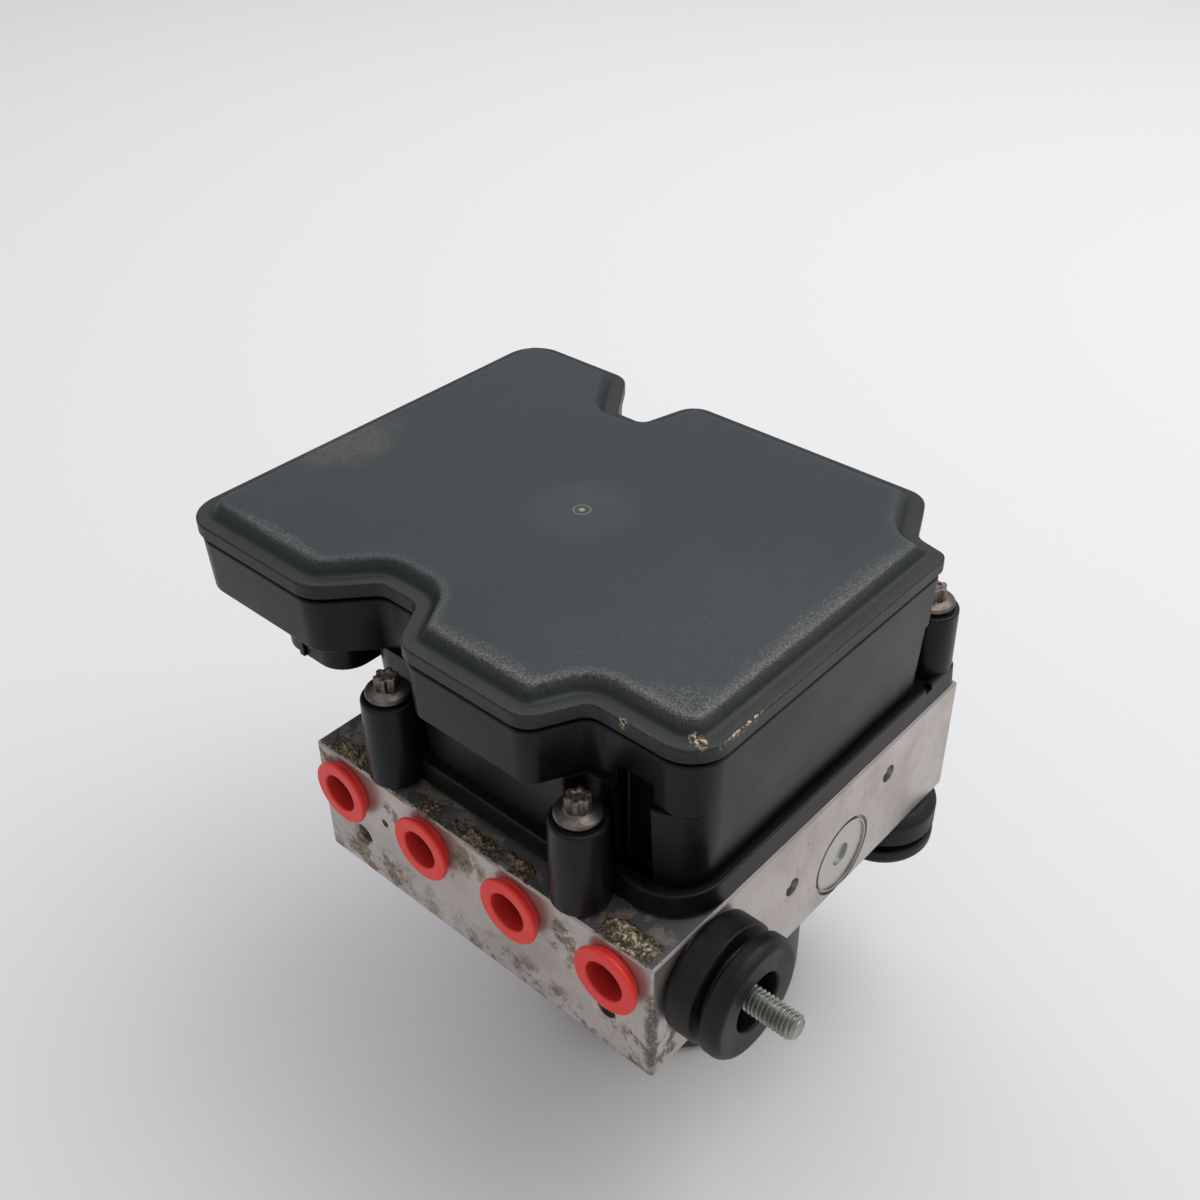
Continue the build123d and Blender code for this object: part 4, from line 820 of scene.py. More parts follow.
class Metal(Enum):
    """Plain metal finishes, by what they cover."""

    SCREW = Finish(
        "screw_steel", (0.20, 0.168, 0.145), (0.10, 0.078, 0.064), (0.34, 0.5), 1.0,
        mottle=0.5, grain=3.0, edge=0.0,
    )
    STUD = Finish(
        "stud_zinc", (0.33, 0.35, 0.31), (0.17, 0.18, 0.15), (0.3, 0.5), 1.0,
        mottle=0.35, grain=3.0, depth=0.015, edge=0.0,
    )
    STEEL = Finish("steel", (0.5, 0.5, 0.49), (0.34, 0.335, 0.32), (0.25, 0.42), 1.0)
    STAKED = Finish("cover_steel", (0.21, 0.19, 0.17), (0.085, 0.07, 0.056), (0.36, 0.55), 0.75, edge=0.3)
    VALVE = Finish("valve_steel", (0.5, 0.49, 0.46), (0.38, 0.36, 0.33), (0.25, 0.4), 1.0)
    BRASS = Finish("pin_brass", (0.6, 0.52, 0.33), (0.42, 0.35, 0.2), (0.22, 0.38), 1.0, edge=0.0)
    MAGNET = Finish("magnet", (0.045, 0.045, 0.05), (0.08, 0.075, 0.075), (0.5, 0.7), 0.4)
    WINDING = Finish(
        "winding", (0.34, 0.13, 0.06), (0.2, 0.17, 0.15), (0.35, 0.55), 0.8, grain=0.9, depth=0.1
    )


class Moulding(Enum):
    """Plain plastic, rubber and coated finishes, by what they cover."""

    MOTOR = Finish(
        "motor_black", (0.012, 0.012, 0.013), (0.035, 0.033, 0.031), (0.3, 0.46), mottle=0.05, edge=0.5
    )
    RUBBER = Finish(
        "bush_rubber", (0.0038, 0.0040, 0.0046), (0.012, 0.012, 0.013), (0.40, 0.55),
        level=0.26, mottle=0.15, grain=2.0, edge=0.0,
    )
    SEAL = Finish("seal_rubber", (0.006, 0.006, 0.006), (0.012, 0.012, 0.012), (0.5, 0.7), level=0.3)
    BOARD = Finish("board", (0.012, 0.075, 0.03), (0.02, 0.1, 0.04), (0.3, 0.5), mottle=0.3)
    COIL = Finish("coil", (0.02, 0.02, 0.022), (0.04, 0.038, 0.036), (0.4, 0.6))
    PISTON = Finish("piston_plastic", (0.1, 0.1, 0.1), (0.16, 0.155, 0.15), (0.35, 0.55))
    BRUSH = Finish("brush_plastic", (0.05, 0.05, 0.045), (0.09, 0.08, 0.065), (0.45, 0.65))


# ---------------------------------------------------------------------------------------------------------
# Sub-assemblies
# ---------------------------------------------------------------------------------------------------------


def add_piece(
    mesh: bpy.types.Mesh, material: bpy.types.Material, replaces: Sequence[str] = ()
) -> bpy.types.Object:
    """Put a finished mesh in the scene as a piece of the fixed unit.

    Args:
        mesh: The mesh, with its place in its vertices.
        material: Its finish.
        replaces: CAD nodes that it stands for.

    Returns:
        The piece.
    """
    mesh.materials.append(material)
    piece = bpy.data.objects.new(mesh.name, mesh)
    bpy.context.scene.collection.objects.link(piece)
    level = piece.modifiers.new("flats", "WEIGHTED_NORMAL")
    level.keep_sharp = True
    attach(piece, "unit")
    if replaces:
        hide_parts(*replaces)
    LOG.info("%s: %d faces", piece.name, len(mesh.polygons))
    return piece


def node_box(node: str) -> tuple[Array, Array, Array]:
    """Lowest corner, highest corner and middle of a CAD node, in millimetres."""
    low, high = (np.array(corner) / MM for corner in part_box(node))
    return low, high, (low + high) / 2


@dataclass
class Cover:
    """The controller's cover: a moulded lid with a rim, a sloped step and a plateau.

    Sizes are in millimetres.
    """

    left: float = -92.3
    right: float = 50.7
    front: float = -67.6
    back: float = 49.7
    hollow_front: float = -55.6
    hollow_back: float = 33.6
    bottom: float = 135.9
    rim_top: float = 139.5
    rim_width: float = 3.6
    slope_width: float = 2.3
    top: float = LID_TOP
    shell: float = 2.0
    lip: float = 3.3
    rim_round: float = 0.55
    step_round: float = 0.85
    bead: float = 0.07
    gate_radius: float = 2.1

    def outline(self) -> Outline:
        """The cover's outline, with a hollow over each tower that lets a socket past."""
        front, back, hollow, notch = self.front, self.back, self.hollow_front, self.hollow_back
        return Outline(
            (
                (self.left, front, 9.2), (-47.0, front, 9.5), (-35.6, hollow, 4.0), (-24.5, hollow, 4.0),
                (-17.4, front, 6.5), (17.7, front, 6.5), (24.1, hollow, 4.0), (self.right, hollow, 9.2),
                (self.right, notch - 2.1, 3.0), (41.8, notch, 4.0), (34.4, back, 6.5), (-34.4, back, 6.5),
                (-38.5, notch, 3.0), (-46.7, notch, 3.0), (-57.7, back, 6.5), (self.left, back, 9.2),
            )
        )

    def profile(self) -> Array:
        """The wall's section as (inset, level) points: inner face, lip, skirt, rim, slope and plateau."""
        slope_end = self.rim_width + self.slope_width
        ceiling = self.top - self.bead
        inner = self.rim_width + self.shell
        under = [
            (inner + self.slope_width + 0.4, ceiling - self.shell),
            (inner + self.slope_width - 0.5, ceiling - self.shell), (inner, self.rim_top - self.shell),
            (self.lip, self.rim_top - self.shell), (self.lip, self.bottom), (0.0, self.bottom),
        ]
        outer = [(0.0, self.bottom), (0.0, self.rim_top), (self.rim_width, self.rim_top)]
        raised = [(self.rim_width, self.rim_top), (slope_end, ceiling), (slope_end + 2.4, ceiling)]
        return np.concatenate(
            [
                softened(under, 0.3, 3)[:-1],
                softened([under[-2], *outer], self.rim_round, 6)[1:-1],
                softened([outer[-2], *raised], self.step_round, 7)[1:],
            ]
        )

    def build(self) -> None:
        """Build the lid in the cover's place, with its worn edges and its painted shade tagged, and the gate's
        ring on it.
        """
        profile = self.profile()
        rings = self.outline().rings(profile)
        mesh = skin("controller_lid", rings)
        edges = np.array([[0.0, self.rim_top], [self.rim_width + self.slope_width, self.top - self.bead]])
        gap = np.min(np.linalg.norm(profile[:, None] - edges[None], axis=2), axis=1)
        worn = np.clip(1.15 - gap / 2.2, 0, 1) * np.where(profile[:, 1] > self.rim_top - 1.0, 1, 0)
        tag(mesh, "edge", np.repeat(worn, rings.shape[1]))
        # The rim tag holds where painted shade darkens the slope and the rim.
        tag(mesh, "rim", np.repeat(np.clip((self.top - 0.3 - profile[:, 1]) / 0.7, 0, 1), rings.shape[1]))
        add_piece(mesh, CoverPlastic().build(), ["ecu_cover"])
        seat = Seat((*GATE, self.top - self.bead), (0, 0, 1), (1, 0, 0))
        ring, crest = self.gate_radius, self.bead
        bead = softened([(ring - 0.45, -0.1), (ring - 0.3, crest), (ring, crest), (ring + 0.15, -0.1)], 0.2)
        gate_mesh = skin("gate_ring", turned(seat, bead), looped=True)
        add_piece(gate_mesh, bpy.data.materials["cover_plastic"])


@dataclass
class Housing:
    """The controller's housing: a foot with a rim, drafted walls in two tiers, four towers and a shroud.

    Sizes are in millimetres, with levels from the motor's end face.
    """

    foot_bottom: float = 95.0
    foot_top: float = 100.9
    foot_draft: float = 0.41
    foot_rim: float = 2.1
    foot_depth: float = 9.0
    notch_low: tuple[float, float] = (48.0, 31.8)
    notch_high: tuple[float, float] = (52.0, 34.4)
    groove: float = 1.4
    floor_top: float = 98.0
    valve_gap: float = 0.3
    lead_hole: tuple[float, float, float] = (0.0, 24.0, 4.5)
    tier: float = 120.5
    overhang_floor: float = 123.1
    wall_top: float = 134.6
    wall: float = 2.6
    lower_draft: float = 1.25
    upper_draft: float = 0.62
    under_cover: float = 0.7
    upper_wall: float = 2.0
    recess_low: Point = (29.7, -66.0, 99.5)
    recess_high: Point = (39.1, -49.7, 126.5)
    recess_wall: float = 1.6
    recess_mouth: float = -53.0
    lintel_front: float = -54.0
    rib_low: tuple[float, float] = (31.2, -53.3)
    rib_high: tuple[float, float] = (32.0, -49.5)
    bench_low: tuple[float, float] = (-28.5, -61.6)
    bench_high: tuple[float, float] = (27.3, -48.6)
    key_low: tuple[float, float] = (-63.7, -60.8)
    key_high: tuple[float, float] = (-61.9, -58.6)
    backing_half: tuple[float, float] = (11.0, 33.0)
    tower_radius: float = 6.25
    tower_top: float = 117.1
    tower_bore: float = 3.75
    sleeve_bore: float = 2.75
    sleeve_top: float = 117.8
    sleeve_bottom: float = 94.5
    shroud_low: tuple[float, float] = (-72.9, -60.0)
    shroud_high: tuple[float, float] = (-48.9, 8.0)
    shroud_corner: float = 7.5
    shroud_wall: float = 1.8
    shroud_bottom: float = 108.6

    def lower(self) -> Outline:
        """The lower wall's outline at its foot, which steps in round the towers."""
        return Outline(
            (
                (-45.9, -54.3, 9.5), (-23.3, -54.3, 1.0), (-21.3, -59.0, 1.0), (20.1, -59.0, 1.0),
                (22.1, -54.3, 1.0), (47.7, -54.3, 9.5), (47.7, 31.5, 3.0), (35.6, 31.5, 3.0),
                (35.6, 43.9, 3.0), (-35.6, 43.9, 3.0), (-35.6, 31.5, 3.0), (-45.9, 31.5, 3.0),
            )
        )

    def foot(self) -> Outline:
        """The foot's outline, the width of the block."""
        return Outline(((-50.7, -58.7, 13.0), (50.7, -58.7, 13.0), (50.7, 46.6, 3.0), (-50.7, 46.6, 3.0)))

    def recess(self) -> bpy.types.Mesh:
        """The space of the recess beside the right front tower."""
        (x0, y0, low), (x1, y1, high) = self.recess_low, self.recess_high
        return plate("recess", [oblong((x0, y0), (x1, y1)).inset(0)], low, high)

    def foot_mesh(self) -> bpy.types.Mesh:
        """The foot: a rim round a shallow groove, with a notch in its right side."""
        low, high = self.foot_bottom, self.foot_top
        floor = high - self.groove
        inner = self.foot_depth
        loop = [
            (inner, low), (0.0, low), (self.foot_draft, high), (self.foot_rim, high),
            (self.foot_rim, floor), (inner, floor),
        ]
        notch = plate("notch", [oblong(self.notch_low, self.notch_high).inset(0)], floor, high + 1)
        return cut(skin("housing_foot", self.foot().rings(section(loop, 0.45, 5)), looped=True), notch)

    def floor_mesh(self) -> bpy.types.Mesh:
        """The floor over the block, with a hole for each valve's collar."""
        holes = []
        for kind in ("inlet", "outlet"):
            for number in range(1, 5):
                low, high, middle = node_box(f"{kind}_valve_{number}")
                holes.append(circle(middle[0], middle[1], (high[0] - low[0]) / 2 + self.valve_gap))
        holes.append(circle(*self.lead_hole))
        return plate("housing_floor", [self.foot().inset(8.8), *holes], self.foot_bottom, self.floor_top)

    def lower_mesh(self) -> bpy.types.Mesh:
        """The lower wall: a closed loop of section that leans out as it rises."""
        lean, base, head = self.lower_draft, self.floor_top - 1.0, self.tier + 0.4
        loop = np.array([(0.0, base), (-lean, head), (self.wall - lean, head), (self.wall, base)])
        return cut(skin("housing_lower_wall", self.lower().rings(loop), looped=True), self.recess())

    def upper_mesh(self, outline: Outline) -> bpy.types.Mesh:
        """The upper wall under the cover: a closed loop of section with a rounded lower edge."""
        outer, inner = self.under_cover, self.under_cover + self.upper_wall
        loop = [
            (inner, self.wall_top), (inner, self.tier), (outer + self.upper_draft, self.tier),
            (outer, self.wall_top),
        ]
        return cut(skin("housing_upper_wall", outline.rings(section(loop, 0.7)), looped=True), self.recess())

    def ceiling_mesh(self, outline: Outline) -> bpy.types.Mesh:
        """The shelf between the tiers, open over the lower tier and over the socket."""
        opening = self.lower().inset(self.wall - self.lower_draft)
        socket = oblong(self.shroud_low, self.shroud_high, self.shroud_corner).inset(self.shroud_wall)
        shelf = outline.inset(self.under_cover + self.upper_draft + 0.9)
        mesh = plate("housing_shelf", [shelf, opening, socket], self.tier + 0.05, self.overhang_floor)
        return cut(mesh, self.recess())

    def liner_meshes(self) -> list[bpy.types.Mesh]:
        """The recess's back and side walls, its lintel and the rib that stands in it."""
        (x0, _, low), (x1, y1, high) = self.recess_low, self.recess_high
        wall, mouth = self.recess_wall, self.recess_mouth
        bend = np.array(
            [
                (x0 - wall, mouth), (x0, mouth), (x0, y1), (x1, y1), (x1, mouth), (x1 + wall, mouth),
                (x1 + wall, y1 + wall), (x0 - wall, y1 + wall),
            ]
        )
        lintel = oblong((x0 - wall, self.lintel_front), (x1 + wall, y1 + wall)).inset(0)
        rib = oblong(self.rib_low, self.rib_high, 0.25).inset(0)
        return [
            plate("recess_liner", [bend], low - 1, high + 0.5),
            plate("recess_lintel", [lintel], high, high + wall),
            plate("recess_rib", [rib], low - 0.5, high + 0.3),
        ]

    def tower_section(self) -> Array:
        """A tower's half section as a closed loop, softened at its edges."""
        bore, radius, low, high = self.tower_bore, self.tower_radius, self.foot_bottom, self.tower_top
        mouth = bore + 1.1
        loop = [
            (bore, low), (radius + 0.35, low), (radius, high), (mouth, high), (bore, high - 0.9),
        ]
        return section(loop, 0.6)

    def shroud_mesh(self) -> bpy.types.Mesh:
        """The connector's shroud, open underneath."""
        low, high = self.shroud_bottom, self.overhang_floor
        wall = self.shroud_wall
        loop = [(wall, high), (0.0, high), (0.0, low), (wall, low)]
        outline = oblong(self.shroud_low, self.shroud_high, self.shroud_corner)
        return skin("socket_shroud", outline.rings(section(loop, 0.5, 5)), looped=True)

    def build(self) -> None:
        """Build the housing in its node's place, with the towers' steel sleeves."""
        material = HousingPlastic().build()
        cover = Cover().outline()
        bench = oblong(self.bench_low, self.bench_high, 0.6)
        low, high = self.foot_bottom, self.foot_top
        step = softened([(6.0, low), (0.0, low), (0.2, high), (6.0, high)], 0.5)
        key = oblong(self.key_low, self.key_high).inset(0)
        middle = np.add(self.shroud_low, self.shroud_high) / 2
        backing = oblong(middle - self.backing_half, middle + self.backing_half, 6.0).inset(0)
        pieces = [
            self.foot_mesh(),
            self.floor_mesh(),
            self.lower_mesh(),
            self.upper_mesh(cover),
            self.ceiling_mesh(cover),
            *self.liner_meshes(),
            self.shroud_mesh(),
            skin("housing_bench", bench.rings(step)),
            plate("socket_key", [key], self.shroud_bottom + 0.4, self.tier),
            plate("socket_back", [backing], self.overhang_floor - 0.1, self.overhang_floor + 2.0),
        ]
        for mesh in pieces:
            add_piece(mesh, material, ["ecu_housing"])
        steel = Metal.STEEL.value.build()
        middle = (self.sleeve_bore + self.tower_bore - 0.05) / 2
        half = middle - self.sleeve_bore
        tube = [
            (middle, self.sleeve_bottom), (middle + half, self.sleeve_bottom),
            (middle + half, self.sleeve_top), (middle - half, self.sleeve_top),
            (middle - half, self.sleeve_bottom),
        ]
        for number, (tower_x, tower_y) in enumerate(TOWERS, start=1):
            seat = Seat((tower_x, tower_y, 0.0), (0, 0, 1), (1, 0, 0))
            tower = skin(f"screw_tower_{number}", turned(seat, self.tower_section(), 72), looped=True)
            add_piece(tower, material, ["ecu_housing"])
            sleeve = skin(f"tower_sleeve_{number}", turned(seat, section(tube, 0.2, 3), 72), looped=True)
            add_piece(sleeve, steel, ["screw_sleeves"])


@dataclass
class PortPlugs:
    """Soft plugs pushed into the wheel ports and the master-cylinder ports.

    Sizes are in millimetres, along each plug's axis from the block's face. The cup's painted shade starts at
    cup_start, a share of the profile, and is full cup_fade below the rim.
    """

    flange: float = 8.1
    flange_thickness: float = 1.4
    standoff: float = 3.0
    collar: float = 6.9
    stem: float = 5.4
    stem_length: float = 8.5
    cup: float = 4.8
    cup_floor: float = 3.9
    cup_wall: float = 1.0
    cup_start: float = 0.78
    cup_fade: float = 7.0

    def profile(self) -> Array:
        """Half section from the stem's end, over the flange and down into the cup."""
        floor = self.cup_wall - self.stem_length
        under = self.standoff - self.flange_thickness
        return softened(
            [
                (0.6, -self.stem_length), (self.stem, -self.stem_length), (self.stem, 0.0),
                (self.collar, 0.0), (self.collar, under), (self.flange, under + 0.1),
                (self.flange, self.standoff), (self.cup, self.standoff), (self.cup_floor, floor),
                (0.6, floor),
            ],
            0.55,
            6,
        )

    def build(self) -> None:
        """Build a plug in each port's place."""
        material = PlugPlastic().build()
        profile = self.profile()
        # Painted shade inside the cup, stronger towards its floor, stored as depth.
        inside = np.arange(len(profile)) > len(profile) * self.cup_start
        inside &= profile[:, 1] < self.standoff - 0.3
        depth = np.where(inside, np.clip((self.standoff - profile[:, 1]) / self.cup_fade, 0.35, 1.0), 0.0)
        for name, seat in self.seats():
            rings = turned(seat, profile)
            mesh = skin(f"{name}_cap", rings)
            tag(mesh, "depth", np.repeat(depth, rings.shape[1]))
            add_piece(mesh, material, [name])

    def seats(self) -> list[tuple[str, Seat]]:
        """Each plug's CAD node with the place of its port."""
        found = []
        for number in range(1, 5):
            low, _, middle = node_box(f"wheel_port_plug_{number}")
            origin = (middle[0], low[1] + self.standoff, middle[2])
            found.append((f"wheel_port_plug_{number}", Seat(origin, (0, -1, 0), (1, 0, 0))))
        for number in range(1, 3):
            low, _, middle = node_box(f"master_port_plug_{number}")
            origin = (middle[0], middle[1], low[2] + self.standoff)
            found.append((f"master_port_plug_{number}", Seat(origin, (0, 0, -1), (1, 0, 0))))
        return found


@dataclass
class Mounting:
    """Rubber bushes with a groove for a bracket, each held by a threaded stud with a collar.

    Sizes are in millimetres, along each axis from the block's face.
    """

    radius: float = 13.7
    length: float = 14.8
    face: float = 12.6
    foot: float = 11.4
    foot_height: float = 1.8
    neck: float = 9.6
    groove: tuple[float, float] = (7.9, 10.2)
    bore: float = 3.05
    mouth: float = 6.8
    mouth_depth: float = 6.5
    stud: float = 2.95
    core: float = 2.46
    pitch: float = 1.0
    hole_depth: float = 10.0
    reach: float = 24.5
    collar: float = 4.2
    collar_height: float = 2.5

    def bush_section(self) -> Array:
        """The bush's half section as a closed loop, softened at every edge."""
        seat = self.length - self.mouth_depth
        low, high = self.groove
        loop = [
            (self.bore, 0.3), (self.bore + 0.3, 0.0), (self.foot, 0.0), (self.radius, self.foot_height),
            (self.radius, low - 0.2), (self.radius - 0.6, low), (self.neck, low), (self.neck, high),
            (self.radius - 0.6, high), (self.radius, high + 0.3), (self.radius, self.length - 1.6),
            (self.face, self.length), (self.mouth, self.length), (self.mouth, seat), (self.bore, seat),
        ]
        return section(loop, 0.75)

    def thread(self, seat: Seat, name: str) -> bpy.types.Mesh:
        """A threaded stud.

        On a grid of angle and reach, the radius is core + (stud - core) * w, where w is a triangle wave of
        reach / pitch - angle / turn, flattened at the crest and the root. It fades to the core at the point.

        Args:
            seat: The stud's place on the block.
            name: Name of the mesh.

        Returns:
            The stud's mesh.
        """
        reach = np.linspace(-self.hole_depth, self.reach, 560)[:, None]
        angle = around(56)
        phase = (reach / self.pitch - angle / (2 * np.pi)) % 1.0
        wave = np.clip(1.35 * (1 - np.abs(2 * phase - 1)) - 0.12, 0, 1)
        fade = np.clip((self.reach - reach) / 0.9, 0, 1)
        radius = self.core + (self.stud - self.core) * wave * fade - 0.35 * (1 - fade)
        return skin(name, seat.place(radius, reach, angle))

    def build(self) -> None:
        """Build both bushes with their studs and collars."""
        rubber = Moulding.RUBBER.value.build()
        zinc = Metal.STUD.value.build()
        low, _, middle = node_box("side_bush")
        side = Seat((low[0], middle[1], middle[2]), (1, 0, 0), (0, 1, 0))
        _, high, middle = node_box("bottom_bush")
        under = Seat((middle[0], middle[1], high[2]), (0, 0, -1), (1, 0, 0))
        seat_level = self.length - self.mouth_depth
        collar = softened(
            [
                (self.core - 0.4, seat_level), (self.collar, seat_level),
                (self.collar, seat_level + self.collar_height),
                (self.core - 0.4, seat_level + self.collar_height),
            ],
            0.4,
        )
        for name, seat in (("side", side), ("bottom", under)):
            bush = skin(f"{name}_bush_rubber", turned(seat, self.bush_section()), looped=True)
            add_piece(bush, rubber, [f"{name}_bush"])
            add_piece(self.thread(seat, f"{name}_stud_thread"), zinc, ["mount_studs"])
            add_piece(skin(f"{name}_stud_collar", turned(seat, collar)), zinc)


@dataclass
class TowerScrews:
    """Flanged screws with six-lobed star heads, one in each tower of the housing.

    Sizes are in millimetres, up from the flange's seat.
    """

    seat_level: float = 117.8
    shank: float = 2.4
    shank_length: float = 33.8
    flange: float = 5.05
    flange_thickness: float = 1.1
    cone: float = 0.6
    core: float = 2.2
    lobe: float = 0.62
    star_height: float = 3.2
    dish: float = 0.35

    def build(self) -> None:
        """Build the four screws.

        Each is a turned profile whose head carries lobes: between the cone and the top the radius is
        core + lobe * s(6 * angle), where s is a cosine squared that is broadened at its crest.
        """
        material = Metal.SCREW.value.build()
        top = self.flange_thickness + self.cone + self.star_height
        outer = self.core + self.lobe
        profile = softened(
            [
                (self.shank, -self.shank_length), (self.shank, 0.0), (self.flange, 0.0),
                (self.flange, self.flange_thickness), (outer + 0.25, self.flange_thickness + self.cone),
                (outer, self.flange_thickness + self.cone + 0.25), (outer, top), (self.core - 0.6, top),
                (self.core - 1.0, top - self.dish), (0.3, top - self.dish),
            ],
            0.35,
            6,
        )
        angle = around(144)
        ridge = np.clip(1.5 * np.cos(3 * angle) ** 2 - 0.2, 0, 1)
        height = profile[:, 1:]
        headed = (height > self.flange_thickness + self.cone + 0.2) & (profile[:, :1] > self.core - 0.4)
        radius = profile[:, :1] - np.where(headed, self.lobe * (1 - ridge), 0)
        for number, (x, y) in enumerate(TOWERS, start=1):
            seat = Seat((x, y, self.seat_level), (0, 0, 1), (1, 0, 0))
            rings = seat.place(radius, height, angle)
            add_piece(skin(f"tower_screw_{number}", rings), material, ["ecu_screws"])


@dataclass(frozen=True)
class Coil:
    """A coil spring behind a piston.

    Attributes:
        name: Name of the piece.
        node: CAD node that it stands for.
        joint: Slide of the piston; not used.
        seat: Where it stands, with its axis towards its fixed end.
        length: Length at rest, in millimetres.
        radius: Radius of the wire's middle.
        wire: Radius of the wire.
        travel: How far the piston goes, with a little to spare; not used.
    """

    name: str
    node: str
    joint: str
    seat: Seat
    length: float
    radius: float
    wire: float
    travel: float

    def build(self, material: bpy.types.Material, turns: int = 5) -> None:
        """Build the spring.

        The wire's middle winds evenly round the axis while it climbs by t - 0.55 sin(2 pi t) / (2 pi) of the
        way, so the end turns lie closer. The wire is a circle square to that line.

        Args:
            material: The spring's finish.
            turns: Number of turns.
        """
        t = np.linspace(0, 1, turns * 36)
        climb = self.wire + (self.length - 2 * self.wire) * (t - 0.55 * np.sin(2 * np.pi * t) / (2 * np.pi))
        angle = 2 * np.pi * turns * t
        middle = self.seat.place(np.full_like(t, self.radius), climb, angle)
        spoke = self.seat.place(np.full_like(t, self.radius + 1), climb, angle) - middle
        along = np.gradient(middle, axis=0)
        along /= np.linalg.norm(along, axis=1, keepdims=True)
        beside = np.cross(along, spoke)
        turn = around(12)[..., None]
        rings = middle[:, None] + self.wire * (np.cos(turn) * spoke[:, None] + np.sin(turn) * beside[:, None])
        piece = add_piece(skin(self.name, rings), material, [self.node])
        end = np.array(self.seat.origin) + self.length * np.array(self.seat.axis)
        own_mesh(piece)


@dataclass
class ReturnSprings:
    """Coil springs behind the pump and accumulator pistons. Sizes are in millimetres."""

    pump_wire: float = 0.35
    pump_travel: float = 2.42
    accumulator_wire: float = 0.7
    accumulator_travel: float = 5.04

    def build(self) -> None:
        """Build all four springs."""
        steel = bpy.data.materials["steel"]
        x, y = (1.0, 0.0, 0.0), (0.0, 1.0, 0.0)
        for side, outward in (("right", x), ("left", (-1.0, 0.0, 0.0))):
            for kind, axis, across, wire, travel in (
                ("pump", outward, y, self.pump_wire, self.pump_travel),
                ("accumulator", y, x, self.accumulator_wire, self.accumulator_travel),
            ):
                node = f"{kind}_spring_{side}"
                low, high, middle = node_box(node)
                length = abs((high - low) @ axis)
                seat = Seat(tuple(middle - length / 2 * np.array(axis)), axis, across)
                names = (f"{kind}_return_spring_{side}", node, f"{kind}_piston_{side}_slide")
                Coil(*names, seat, length, (high - low) @ across / 2 - wire, wire, travel).build(steel)


@dataclass
class Crust:
    """Salt crust grown on the block's top along its front edge.

    Sizes are in millimetres.
    """

    top: float = BLOCK_TOP
    front: float = BLOCK_FRONT
    spacing: float = 0.13
    height: float = 0.8
    cut: float = 0.33

    def patch(
        self, name: str, low: tuple[float, float], high: tuple[float, float], seed: int
    ) -> bpy.types.Mesh:
        """A bumpy sheet over a rectangle, sunk into the metal outside a ragged outline.

        The height is H * a * (0.25 + 1.3 * grain^2), where a is (m - cut) / 0.35 held between -0.4 and 1, m is
        coarse noise faded to nothing towards three of the rectangle's edges, and grain is fine noise. Where it
        falls below the metal the sheet dips under it, and its quads are left out a little further down.

        Args:
            name: Name of the mesh.
            low: Left front corner of the rectangle.
            high: Right back corner.
            seed: Picks the noise.

        Returns:
            The sheet, open underneath.
        """
        columns = int((high[0] - low[0]) / self.spacing)
        rows = int((high[1] - low[1]) / self.spacing)
        u, v = np.meshgrid(np.linspace(0, 1, columns), np.linspace(0, 1, rows))
        x = low[0] + u * (high[0] - low[0])
        y = low[1] + v * (high[1] - low[1])
        coarse = 0.45 * value_noise(x / 4.6 + 9, y / 3.2 + 9, seed)
        coarse = coarse + 0.3 * value_noise(x / 1.5, y / 1.5, seed + 1)
        coarse += 0.25 * value_noise(x / 0.6, y / 0.6, seed + 4)
        fade = np.clip(9 * u * (1 - u), 0, 1) * np.clip(1.9 * (1 - v), 0, 1)
        grain = 0.5 * value_noise(x / 0.55, y / 0.55, seed + 2)
        grain = grain + 0.5 * value_noise(x / 0.3, y / 0.3, seed + 3)
        amount = np.clip((coarse * fade - self.cut) / 0.35, -0.4, 1.0)
        height = self.height * amount * (0.25 + 1.3 * grain**2) - 0.03
        points = np.stack([x, y, self.top + height], axis=-1)
        index = np.arange(rows * columns).reshape(rows, columns)
        quads = np.stack([index[:-1, :-1], index[:-1, 1:], index[1:, 1:], index[1:, :-1]], axis=-1)
        kept = quads.reshape(-1, 4)[(amount[:-1, :-1] > -0.12).ravel()]
        mesh = bpy.data.meshes.new(name)
        mesh.from_pydata((points.reshape(-1, 3) * MM).tolist(), [], kept.tolist())
        tag(mesh, "height", np.clip(height / self.height, 0, 1))
        sheet = bmesh.new()
        sheet.from_mesh(mesh)
        loose = [vertex for vertex in sheet.verts if not vertex.link_faces]
        bmesh.ops.delete(sheet, geom=loose, context="VERTS")
        sheet.to_mesh(mesh)
        sheet.free()
        smooth(mesh)
        return mesh

    def build(self) -> None:
        """Build the crust in three patches, beside and between the front towers."""
        material = SaltCrust().build()
        for name, left, right, depth, seed in (
            ("near", 33.8, 50.7, 9.4, 4), ("front", -23.0, 21.0, 6.6, 11),
            ("left", -50.7, -34.6, 8.0, 23),
        ):
            low, high = (left, self.front + 0.25), (right, self.front + depth)
            add_piece(self.patch(f"salt_crust_{name}", low, high, seed), material)


